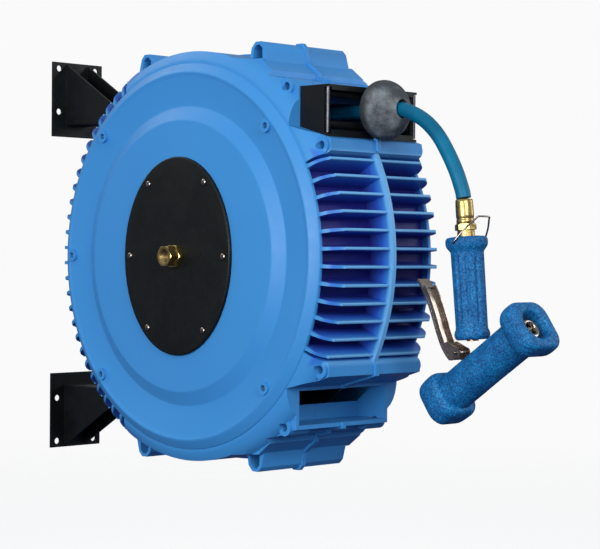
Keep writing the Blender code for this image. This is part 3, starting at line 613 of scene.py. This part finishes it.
def casing_shell(name, side, node):
    """Half of the casing; side -1 is the inlet half, +1 the spring half."""
    def x(value):
        return side * value

    def spun(profile, sides=144):
        return turned([(x(h), r) for h, r in profile], sides)

    shell = solid(name, prism(casing_outline(True, feet=False), x(-0.004), x(RIM_X + 0.004)))
    shoulder = [(CORNER_X, 0.2675), (0.0860, 0.2650), (0.0910, 0.2605), (0.0945, 0.2550),
                (0.0965, 0.2495), (RIM_X - 0.001, 0.2480)]
    envelope = [(-0.010, 0), (-0.010, 0.30), (CORNER_X, 0.30)] + shoulder
    combine(shell, [spun(envelope + [(RIM_X - 0.001, 0)])], "INTERSECT")

    cover = softened([(0.093, 0), (0.093, RIM_R), (RIM_X, RIM_R), (0.1040, 0.2355),
                      (0.1055, 0.2325), (0.1040, 0.2280), (0.0990, 0.1900), (0.1080, 0.1720),
                      (0.1080, 0)], 0.0016, 4)
    flange = swollen(casing_outline(False), 0.0035)
    solids = [prism(flange, x(-0.005), x(0.003)), spun(cover)]
    cavity = [(-0.020, 0), (-0.020, BORE_R), (0.0935, BORE_R), (0.0985, 0.2250),
              (0.0950, 0.1885), (0.1040, 0.1700), (0.1040, 0)]
    hollows = [spun(cavity)]
    lug_low, lug_top, pivot_y = 0.146, 0.1755, 0.240
    for down in (False, True):
        front_foot = flip(FOOT_FACE + [(-0.100, 0.228), (-0.128, 0.228)], down=down)
        hollow = flip([(-0.1155, 0.2575), (-0.1105, 0.2620), (-0.1045, 0.2620),
                       (-0.1000, 0.2570), (-0.0985, 0.2450), (-0.1160, 0.2450)], down=down)
        for back in (False, True):
            solids.append(prism(flip(front_foot, back=back), x(-0.006), x(FOOT_X)))
            hollows.append(prism(flip(hollow, back=back), x(-0.020), x(0.075)))
        lug = [(0.190, lug_low), (pivot_y + 0.018, lug_low), (pivot_y + 0.018, lug_top),
               (0.190, lug_top)]
        solids.append(prism(flip(lug, down=down), x(-0.007), x(0.018)))
        level = -1 if down else 1
        bore = rod(level * (lug_low - 0.01), level * (lug_top + 0.01), 0.0106)
        hollows.append(turned(bore, 32, along((0, pivot_y, 0), (0, 0, 1))))
    hose_hole = [(-0.115, MOUTH_Z - 0.011), (-0.200, MOUTH_Z - 0.011),
                 (-0.200, MOUTH_Z + 0.011), (-0.115, MOUTH_Z + 0.011)]
    guide_room = [(-0.1890, 0.1571), (-0.2310, 0.1451), (-0.2400, 0.1423), (-0.2600, 0.2070),
                  (-0.1890, 0.2070)]
    window = [(-0.140, -0.161), (-0.200, -0.161), (-0.200, -0.203), (-0.140, -0.203)]
    hollows += [prism(hose_hole, x(-0.020), x(0.030)), prism(guide_room, x(-0.020), x(0.010)),
                prism(window, x(-0.020), x(0.0755))]

    corner_screws = [(-0.1715, 0.2060), (-0.2315, 0.1330)]
    for y, z in corner_screws + flip(corner_screws, down=True):
        spot = Matrix.Translation((0, y, z))
        solids.append(turned(rod(x(0.050), x(0.0835), 0.0105), 32, spot))
        hollows.append(turned(rod(x(0.068), x(0.090), 0.0050), 24, spot))
    for degrees in (45, 135, 180, 225, 315):
        spot = Matrix.Translation((0, *polar(0.2235, math.radians(degrees))))
        solids.append(turned(rod(x(0.098), x(0.1072), 0.0080), 32, spot))
        hollows.append(turned(rod(x(0.1015), x(0.110), 0.0040), 24, spot))
    everything = [(-0.4, -0.4), (0.4, -0.4), (0.4, 0.4), (-0.4, 0.4)]
    hollows.append(prism(everything, x(-0.05), x(SEAM)))
    if side < 0:
        hollows.append(spun(rod(0.09, 0.12, 0.0455), 64))
    add(shell, *solids)
    cut(shell, *hollows)
    round_edges(shell, 0.0007, 2, 28)
    finish_piece(shell, "casing_blue", [node], sharp=30)


def casing_screws():
    """Screw heads sunk in the corner lugs and in the side cover's bosses."""
    corners = [(-0.1715, 0.2060), (-0.2315, 0.1330)]
    rim = [polar(0.2235, math.radians(degrees)) for degrees in (45, 135, 180, 225, 315)]
    for side, word in ((-1, "near"), (1, "far")):
        places = [(0.0690, y, z, 0.0044) for y, z in corners + flip(corners, down=True)]
        places += [(0.1018, y, z, 0.0034) for y, z in rim]
        for number, (x, y, z, radius) in enumerate(places, 1):
            screw_head(f"{word}_casing_screw_{number}", side, x, y, z, radius, "zinc",
                       "casing")


# ---------------------------------------------------------------- brackets
PIVOT_Y, PIVOT_R = 0.240, 0.006
SHELF_Z, SHELF_THICK = 0.187, 0.003
LUG_TOP, LUG_LOW = 0.1755, 0.146


def wall_bracket(word, level):
    down = level < 0
    wall = 0.357
    plate = [(wall - 0.003, 0.170), (wall, 0.170), (wall, 0.277), (wall - 0.003, 0.277)]
    bracket = solid(word + "_bracket_fine", prism(flip(plate, down=down), -0.044, 0.044))
    nose = PIVOT_Y - 0.022
    shelf = [(nose, SHELF_Z), (wall - 0.002, SHELF_Z), (wall - 0.002, SHELF_Z + SHELF_THICK),
             (nose, SHELF_Z + SHELF_THICK)]
    solids = [prism(flip(shelf, down=down), -0.0203, 0.0203)]
    gusset = [(nose + 0.004, SHELF_Z + 0.001), (wall - 0.002, SHELF_Z + 0.001),
              (wall - 0.002, 0.275), (nose + 0.004, 0.197)]
    for side in (-1, 1):
        solids.append(prism(flip(gusset, down=down), side * 0.0175, side * 0.0205))
    holes = []
    for x in (-0.0325, 0.0325):
        for z in (0.206, 0.268):
            holes.append(turned(rod(0, 0.02, 0.0045), 32,
                                along((x, wall - 0.01, level * z), (0, 1, 0))))
    place = along((0, PIVOT_Y, level * SHELF_Z), (0, 0, 1))
    holes.append(turned(rod(-0.01, 0.01, PIVOT_R + 0.0003), 32, place))
    add(bracket, *solids)
    cut(bracket, *holes)
    round_edges(bracket, 0.0006)
    finish_piece(bracket, "bracket_black", [word + "_wall_bracket"])


def hexagon(h0, h1, corner, place=None):
    """Hexagonal prism with its outer end's corners turned off, as on a bolt head."""
    reach = h1 - h0
    lift = 0.18 * abs(reach) * (1 if reach > 0 else -1)
    bm = turned(rod(h0, h1, corner), 6)
    cone = turned([(h0 - reach, 0), (h0 - reach, corner * 3), (h1 - lift * 8, corner * 1.0 + 8 *
                  abs(lift) * 1.2), (h1, corner * 0.88), (h1, 0)], 48)
    head = solid("hexagon", bm)
    combine(head, [cone], "INTERSECT")
    result = bmesh.new()
    result.from_mesh(head.data)
    bpy.data.objects.remove(head)
    if place:
        bmesh.ops.transform(result, matrix=place, verts=result.verts)
    return result


def pivot_pieces(word, level):
    place = along((0, PIVOT_Y, 0), (0, 0, level))
    top = SHELF_Z + SHELF_THICK + 0.0003
    bolt = solid(word + "_bolt_fine", turned(rod(LUG_LOW + 0.004, top + 0.001, PIVOT_R), 32,
                                             place))
    add(bolt, hexagon(top, top + 0.0078, 0.0105, place))
    finish_piece(bolt, "zinc", [word + "_pivot_bolt"], sharp=25)
    nut = solid(word + "_nut_fine", hexagon(SHELF_Z - 0.0003, SHELF_Z - 0.0075, 0.0105, place))
    cut(nut, turned(rod(SHELF_Z - 0.02, SHELF_Z + 0.01, PIVOT_R + 0.0003), 32, place))
    finish_piece(nut, "zinc", [word + "_pivot_nut"], sharp=25)
    washer = softened(tube(LUG_TOP + 0.0003, LUG_TOP + 0.0035, PIVOT_R + 0.0003, 0.0150),
                      0.0006, 2, True)
    ring = solid(word + "_washer_fine", turned(washer, 48, place, ring=True))
    finish_piece(ring, "steel", [word + "_thrust_washer"])


# ---------------------------------------------------------------- inlet
PLATE_HALF_Y, PLATE_HALF_Z = 0.1025, 0.126
PLATE_X = 0.1083
PLATE_FACE = PLATE_X + 0.0045


def inlet():
    """Oval plate with a rounded edge, its six screws, and the threaded brass inlet."""
    sides = 128
    rings = [(PLATE_X, 0.0002), (PLATE_X + 0.0022, 0), (PLATE_X + 0.0034, 0.0004),
             (PLATE_X + 0.0042, 0.0012), (PLATE_FACE, 0.0026)]
    bm = bmesh.new()
    rows = []
    for x, inset in rings:
        turn = [2 * math.pi * k / sides for k in range(sides)]
        rows.append([bm.verts.new((-x, (PLATE_HALF_Y - inset) * math.cos(a),
                                   (PLATE_HALF_Z - inset) * math.sin(a))) for a in turn])
    for low, high in zip(rows, rows[1:]):
        for k in range(sides):
            n = (k + 1) % sides
            bm.faces.new((low[k], low[n], high[n], high[k]))
    bm.faces.new(rows[0])
    bm.faces.new(rows[-1])
    bmesh.ops.recalc_face_normals(bm, faces=bm.faces)
    plate = solid("inlet_plate_fine", bm)
    spots = []
    for k in range(6):
        a = math.pi * k / 3
        stretch = 1.0 if k % 3 == 0 else 1.19
        spots.append((0.0905 * stretch * math.cos(a), 0.0895 * stretch * math.sin(a)))
    cut(plate, turned(rod(-0.12, -0.10, 0.0112), 48),
        *[turned(rod(-0.12, -PLATE_FACE + 0.0008, 0.0052), 32, Matrix.Translation((0, y, z)))
          for y, z in spots])
    finish_piece(plate, "plate_black", ["inlet_plate"])
    for number, (y, z) in enumerate(spots, 1):
        screw_head(f"inlet_screw_{number}", -1, PLATE_FACE - 0.0008, y, z, 0.0042,
                   stands_for=[f"plate_screw_{number}"])

    nut = solid("lock_nut_fine", hexagon(-PLATE_FACE - 0.0003, -PLATE_FACE - 0.0060, 0.0158))
    cut(nut, turned(rod(-0.14, -0.10, 0.0108), 48))
    finish_piece(nut, "brass", ["inlet_lock_nut"], sharp=25)
    fitting = solid("inlet_fitting_fine", hexagon(-PLATE_FACE - 0.0063, -PLATE_FACE - 0.0185,
                                                  0.0142))
    add(fitting, turned(rod(-PLATE_FACE - 0.0070, -0.0700, 0.0104), 48))
    bore = [(-0.14, 0), (-0.14, 0.0100), (-PLATE_FACE - 0.0186, 0.0096)]
    for k in range(9):
        x = -PLATE_FACE - 0.0180 + 0.0018 * k
        bore += [(x, 0.0082), (x + 0.0009, 0.0090)]
    bore += [(-0.0690, 0.0082), (-0.0690, 0)]
    cut(fitting, turned(bore, 48))
    finish_piece(fitting, "brass", ["inlet_fitting"], sharp=25)


# ---------------------------------------------------------------- mouth
GUIDE_BACK, GUIDE_FRONT, GUIDE_TOP = -0.1893, -0.2365, 0.2055


def ledge(y, lift=0.0):
    """Height of the sloping ledge under the hose guide."""
    return 0.1570 + (y + 0.1890) * 0.2900 + lift


def hose_guide():
    """Roller box with rounded edges, bolted in the mouth."""
    back, front = GUIDE_BACK, GUIDE_FRONT
    low, low_front = ledge(back, 0.0006), ledge(front, 0.0006)
    top, cheek_front = GUIDE_TOP, -0.2300
    base = [(back, low), (front, low_front), (front, low_front + 0.0028), (back, low + 0.0028)]
    box = solid("hose_guide_fine", prism(base, -0.078, 0.078))
    lip = [(front + 0.003, low_front + 0.0005), (front, low_front + 0.0005),
           (front, low_front + 0.0075), (front + 0.003, low_front + 0.0075)]
    roof = [(back, top - 0.0028), (front, top - 0.0028), (front, top), (back, top)]
    cheek = [(back, low + 0.001), (cheek_front, ledge(cheek_front, 0.0016)),
             (cheek_front, top - 0.001), (back, top - 0.001)]
    brow = [(front + 0.003, top - 0.0065), (front, top - 0.0065), (front, top - 0.001),
            (front + 0.003, top - 0.001)]
    solids = [prism(roof, -0.078, 0.078), prism(lip, -0.0715, 0.0715),
              prism(brow, -0.0715, 0.0715)]
    for side in (-1, 1):
        solids.append(prism(cheek, side * 0.0745, side * 0.0779))
    add(box, *solids)
    round_edges(box, 0.0005)
    finish_piece(box, "guide_black", ["hose_guide_frame"])
    for word, z in (("upper", 0.1965), ("lower", 0.1590)):
        place = Matrix.Translation((0, -0.2220, z))
        sleeve = softened(tube(-0.0735, 0.0735, 0.0025, 0.0050), 0.0008, 3, True)
        finish_piece(solid(word + "_roller_fine", turned(sleeve, 40, place, ring=True)),
                     "guide_black", [word + "_guide_roller"])


def stop_halves():
    """Two rubber halves clamped round the hose, with a moulded seam."""
    profile = [(0.2388, 0.0094), (0.2388, 0.0200), (0.2402, 0.0258), (0.2430, 0.0315),
               (0.2468, 0.0345), (0.2510, 0.0360), (0.2550, 0.03625), (0.2590, 0.0360),
               (0.2636, 0.0346), (0.2680, 0.0324), (0.2725, 0.0284), (0.2765, 0.0236),
               (0.2800, 0.0180), (0.2830, 0.0143), (0.2850, 0.0122), (0.2850, 0.0114)]
    place = along((0, 0, MOUTH_Z), (0, -1, 0))
    for word, side in (("near", -1), ("far", 1)):
        half = solid(word + "_stop_fine", turned(softened(profile, 0.002, 3, True), 96, place,
                                                 ring=True))
        beyond = [(-0.32, 0.12), (-0.20, 0.12), (-0.20, 0.24), (-0.32, 0.24)]
        cut(half, prism(beyond, -side * 0.06, side * 0.0003))
        finish_piece(half, "stop_rubber", [word + "_stop_half"], sharp=50)


# ---------------------------------------------------------------- hose
OUTLET_ROUTE = [(-0.2383, 0.1780), (-0.2620, 0.1780), (-0.2850, 0.1769), (-0.3030, 0.1710),
                (-0.3190, 0.1628), (-0.3330, 0.1520), (-0.3450, 0.1392), (-0.3550, 0.1250),
                (-0.3637, 0.1110), (-0.3706, 0.0980), (-0.3762, 0.0850), (-0.3794, 0.0765),
                (-0.3808, 0.0700)]
HOSE_R = 0.00875


def curve_through(points, steps):
    """Smooth path (Catmull-Rom) through the given points."""
    made = []
    ends = [points[0] * 2 - points[1]] + points + [points[-1] * 2 - points[-2]]
    for a, b, c, d in zip(ends, ends[1:], ends[2:], ends[3:]):
        for k in range(steps):
            t = k / steps
            made.append(0.5 * (2 * b + (c - a) * t + (2 * a - 5 * b + 4 * c - d) * t * t
                               + (3 * b - a - 3 * c + d) * t ** 3))
    return made + [points[-1]]


def round_curve(name, points, radius, finish, sides=12):
    """Round bar or hose along a path, kept as a curve that starts at its own origin."""
    curve = bpy.data.curves.new(name, "CURVE")
    curve.dimensions = "3D"
    curve.bevel_depth = radius
    curve.bevel_resolution = sides
    curve.use_fill_caps = True
    line = curve.splines.new("POLY")
    line.points.add(len(points) - 1)
    for spot, point in zip(line.points, points):
        spot.co = (*(point - points[0]), 1)
        spot.radius = 1
    line.use_smooth = True
    obj = bpy.data.objects.new(name, curve)
    bpy.context.scene.collection.objects.link(obj)
    curve.materials.append(MATERIALS[finish])
    obj.location = REEL + points[0]
    return obj


def outlet_hose():
    path = curve_through([Vector((0, y, z)) for y, z in OUTLET_ROUTE], 8)
    length = sum((b - a).length for a, b in zip(path, path[1:]))
    hose = round_curve("outlet_hose_fine", path, HOSE_R, "hose_teal")
    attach(hose, BODY["outlet_hose"])
    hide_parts("outlet_hose")
    return hose, path[0] + REEL, length


# ---------------------------------------------------------------- gun
HANDLE_TOP = Vector((0, -0.3853, 0.0250))
HANDLE_LEAN = math.radians(5.3)
BARREL_REAR = Vector((0, -0.360, -0.162))
BARREL_RISE = math.radians(35.1)
LEVER_PIVOT = Vector((0, -0.3785, -0.1085))
LATCH_PIVOT = Vector((0, -0.3875, 0.0170))
HANDLE = along(HANDLE_TOP, (0, -math.sin(HANDLE_LEAN), -math.cos(HANDLE_LEAN)))
BARREL = along(BARREL_REAR, (0, -math.cos(BARREL_RISE), math.sin(BARREL_RISE)))


def brass_end():
    """Crimped ferrule and union nut between hose and handle."""
    profile = [(-0.0435, 0.0092), (-0.0430, 0.0099), (-0.0400, 0.0102), (-0.0330, 0.0104),
               (-0.0250, 0.0104), (-0.0222, 0.0103), (-0.0214, 0.0098), (-0.0204, 0.0098),
               (-0.0196, 0.0103), (-0.0160, 0.0104), (-0.0155, 0.0100), (-0.0155, 0.0045),
               (-0.0435, 0.0045)]
    ferrule = solid("ferrule_fine", turned(profile, 64, HANDLE, ring=True))
    finish_piece(ferrule, "brass", ["hose_ferrule"], sharp=50)
    nut = solid("union_nut_fine", hexagon(-0.0080, -0.0152, 0.0127, HANDLE))
    cut(nut, turned(rod(-0.02, 0.0, 0.0062), 32, HANDLE))
    finish_piece(nut, "brass", ["union_nut"], sharp=25)
    return ferrule, nut


def grip():
    """Rubber sleeve with ten long finger flutes and a thick flange at its top."""
    sides, flutes = 160, 10
    line = [(0.0990, 0.0108), (0.0003, 0.0108), (0.0003, 0.0215), (0.0010, 0.0230),
            (0.0030, 0.0243), (0.0060, 0.0246), (0.0095, 0.0243), (0.0120, 0.0233),
            (0.0145, 0.0213), (0.0165, 0.0198), (0.0185, 0.0192)]
    line += [(0.0185 + 0.0025 * k, 0.0192 - 0.00002 * k) for k in range(1, 35)]
    line += [(0.1065, 0.0188), (0.1085, 0.0199), (0.1110, 0.0206), (0.1140, 0.0206),
             (0.1165, 0.0197), (0.1180, 0.0185), (0.1185, 0.0170), (0.1185, 0.0110)]
    bm = bmesh.new()
    rows = []
    for h, radius in line:
        row = []
        ends = min(1.0, max(0.0, (h - 0.0215) / 0.006)) * min(1.0, max(0.0,
                                                                       (0.1015 - h) / 0.006))
        for k in range(sides):
            a = 2 * math.pi * k / sides
            wave = max(0.0, math.cos(a * flutes) - 0.10) / 0.90
            flute = 0.0021 * ends * ends * (3 - 2 * ends) * wave ** 0.7
            reach = radius - (flute if radius > 0.015 else 0)
            row.append(bm.verts.new((h, reach * math.cos(a), reach * math.sin(a))))
        rows.append(row)
    for low, high in zip(rows, rows[1:] + rows[:1]):
        for k in range(sides):
            n = (k + 1) % sides
            bm.faces.new((low[k], low[n], high[n], high[k]))
    bmesh.ops.transform(bm, matrix=HANDLE, verts=bm.verts)
    bmesh.ops.recalc_face_normals(bm, faces=bm.faces)
    finish_piece(solid("grip_fine", bm), "gun_blue", ["grip_sleeve"], sharp=60)


def rounded_square(half, corner, steps=10):
    points = []
    for k, (u, v) in enumerate(((1, 1), (-1, 1), (-1, -1), (1, -1))):
        for step in range(steps + 1):
            a = math.pi / 2 * (k + step / steps)
            points.append((u * (half - corner) + corner * math.cos(a),
                           v * (half - corner) + corner * math.sin(a)))
    return points


def lofted(sections, place):
    bm = bmesh.new()
    rows = [[bm.verts.new((h, u, v)) for u, v in outline] for h, outline in sections]
    for low, high in zip(rows, rows[1:]):
        for k in range(len(low)):
            n = (k + 1) % len(low)
            bm.faces.new((low[k], low[n], high[n], high[k]))
    bm.faces.new(rows[0])
    bm.faces.new(rows[-1])
    bmesh.ops.transform(bm, matrix=place, verts=bm.verts)
    bmesh.ops.recalc_face_normals(bm, faces=bm.faces)
    return bm


def swept_sections(stations, smooth_steps=4):
    """(height, half width, corner) stations made into a smooth run of rounded squares."""
    run = curve_through([Vector(s) for s in stations], smooth_steps)
    return [(h, rounded_square(half, corner)) for h, half, corner in run]


def barrel():
    cover = [(0.0143, 0.0169), (0.0143, 0.0230), (0.0400, 0.0230), (0.0700, 0.0227),
             (0.1000, 0.0229), (0.1276, 0.0230), (0.1276, 0.0169)]
    piece = solid("barrel_fine", turned(cover, 96, BARREL, ring=True))
    cut(piece, turned(rod(0.09, 0.138, 0.0076), 32, HANDLE))
    finish_piece(piece, "gun_blue", ["barrel_cover"], sharp=50)
    cap = lofted(swept_sections([(-0.0190, 0.0205, 0.0150), (-0.0180, 0.0240, 0.0155),
                                 (-0.0150, 0.0268, 0.0160), (-0.0090, 0.0282, 0.0165),
                                 (0.0000, 0.0288, 0.0170), (0.0060, 0.0288, 0.0170),
                                 (0.0105, 0.0278, 0.0170), (0.0132, 0.0258, 0.0165),
                                 (0.0141, 0.0235, 0.0160)]), BARREL)
    finish_piece(solid("rear_cap_fine", cap), "gun_blue", ["rear_cap"], sharp=60)
    bumper = lofted(swept_sections([(0.1281, 0.0236, 0.0150), (0.1300, 0.0258, 0.0155),
                                    (0.1330, 0.0283, 0.0160), (0.1380, 0.0305, 0.0170),
                                    (0.1440, 0.0311, 0.0170), (0.1520, 0.0309, 0.0170),
                                    (0.1558, 0.0296, 0.0168), (0.1574, 0.0274, 0.0162)]),
                    BARREL)
    nose = solid("nozzle_bumper_fine", bumper)
    recess = [(0.12, 0), (0.12, 0.0168), (0.1470, 0.0168), (0.1500, 0.0172),
              (0.1545, 0.0182), (0.1564, 0.0192), (0.1574, 0.0212), (0.170, 0.0300), (0.170, 0)]
    cut(nose, turned(recess, 96, BARREL))
    finish_piece(nose, "gun_blue", ["nozzle_bumper"], sharp=50)
    tip = [(0.1445, 0.0068), (0.1445, 0.0130), (0.1478, 0.0130), (0.1486, 0.0122),
           (0.1492, 0.0100), (0.1490, 0.0084), (0.1478, 0.0070)]
    finish_piece(solid("nozzle_tip_fine", turned(tip, 64, BARREL, ring=True)), "steel",
                 ["nozzle_tip"], sharp=50)


LEVER_LINE = [(-0.3190, -0.0250), (-0.3260, -0.0345), (-0.3350, -0.0500), (-0.3430, -0.0680),
              (-0.3500, -0.0860), (-0.3570, -0.1010), (-0.3640, -0.1110), (-0.3700, -0.1170)]


def strip(line, front, back):
    """Side outline of a band that follows a line, from one offset to another."""
    outer, inner = [], []
    for k, (y, z) in enumerate(line):
        y0, z0 = line[max(k - 1, 0)]
        y1, z1 = line[min(k + 1, len(line) - 1)]
        length = math.hypot(y1 - y0, z1 - z0)
        ny, nz = (z1 - z0) / length, -(y1 - y0) / length
        outer.append((y + ny * front, z + nz * front))
        inner.append((y + ny * back, z + nz * back))
    return outer + inner[::-1]


def lever_and_latch():
    line = [(p.y, p.z) for p in curve_through([Vector((0, y, z)) for y, z in LEVER_LINE], 4)]
    lever = solid("lever_fine", prism(strip(line, -0.0012, 0.0012), -0.0100, 0.0100))
    py, pz = LEVER_PIVOT.y, LEVER_PIVOT.z
    sides = []
    for side in (-1, 1):
        flange = strip(line[4:-4], 0.0060, -0.0006)
        sides.append(prism(flange, side * 0.0078, side * 0.0098))
        ear = [(-0.3600, -0.0985), (-0.3720, -0.1180), (py - 0.0060, pz - 0.0040),
               (py - 0.0064, pz - 0.0005), (py - 0.0060, pz + 0.0030), (py - 0.0042, pz + 0.0050),
               (py - 0.0010, pz + 0.0060), (-0.3650, -0.0965)]
        sides.append(prism(ear, side * 0.0076, side * 0.0096))
    add(lever, *sides)
    cut(lever, turned(rod(-0.02, 0.02, 0.0023), 32, Matrix.Translation((0, py, pz))))
    round_edges(lever, 0.0005, 3)
    finish_piece(lever, "steel", ["trigger_lever"])
    pin = softened([(-0.0125, 0), (-0.0125, 0.0020), (0.0125, 0.0020), (0.0125, 0)], 0.0006, 3)
    finish_piece(solid("lever_pin_fine", turned(pin, 32, Matrix.Translation((0, py, pz)))),
                 "steel", ["lever_pin"])

    lean = math.radians(37)
    up = Vector((0, -math.sin(lean), math.cos(lean)))
    side = Vector((1, 0, 0))
    base = LATCH_PIVOT
    route = [base - side * 0.0262, base - side * 0.0258 + up * 0.006,
             base - side * 0.0200 + up * 0.022, base - side * 0.0125 + up * 0.035,
             base - side * 0.0105 + up * 0.0385, base - side * 0.0070 + up * 0.0395]
    route += [base * 2 - p + 2 * (p - base).dot(up) * up for p in route[::-1]]
    latch = round_curve("latch_fine", curve_through(route, 6), 0.0011, "steel", 4)
    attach(latch, BODY["latch_wire"])
    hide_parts("latch_wire")


# ---------------------------------------------------------------- whole scene
MATERIALS = make_materials()
# A copy of steel painted darker as shade, for the hose guide's side rollers.
SHADED_STEEL = metal("dark_steel_fine", linear(92, 94, 98), 0.35, linear(58, 58, 60))
BODY = {node: body for body, nodes in frame["record"]["behaviour"]["bodies"].items()
        for node in nodes}


def paint_cad():
    """CAD nodes that stay in view take the fine material of their slot; the guide's side rollers
    take a copy of steel painted darker as shade.
    """
    slots = {row["node"]: row["material_slot"] for row in frame["record"]["subparts"]}
    for name, obj in frame["nodes"].items():
        obj.data.materials.clear()
        # Painted shade: the side rollers take the darker copy of steel.
        shaded_roller = "side_roller" in name
        obj.data.materials.append(SHADED_STEEL if shaded_roller else MATERIALS[slots[name]])


hose, exit_point, hose_length = outlet_hose()
camera()
studio()
paint_cad()
casing_shell("near_casing_fine", -1, "near_casing_shell")
casing_shell("far_casing_fine", 1, "far_casing_shell")
casing_screws()
for word, level in (("upper", 1), ("lower", -1)):
    wall_bracket(word, level)
    pivot_pieces(word, level)
inlet()
hose_guide()
stop_halves()
ferrule, nut = brass_end()
grip()
barrel()
lever_and_latch()
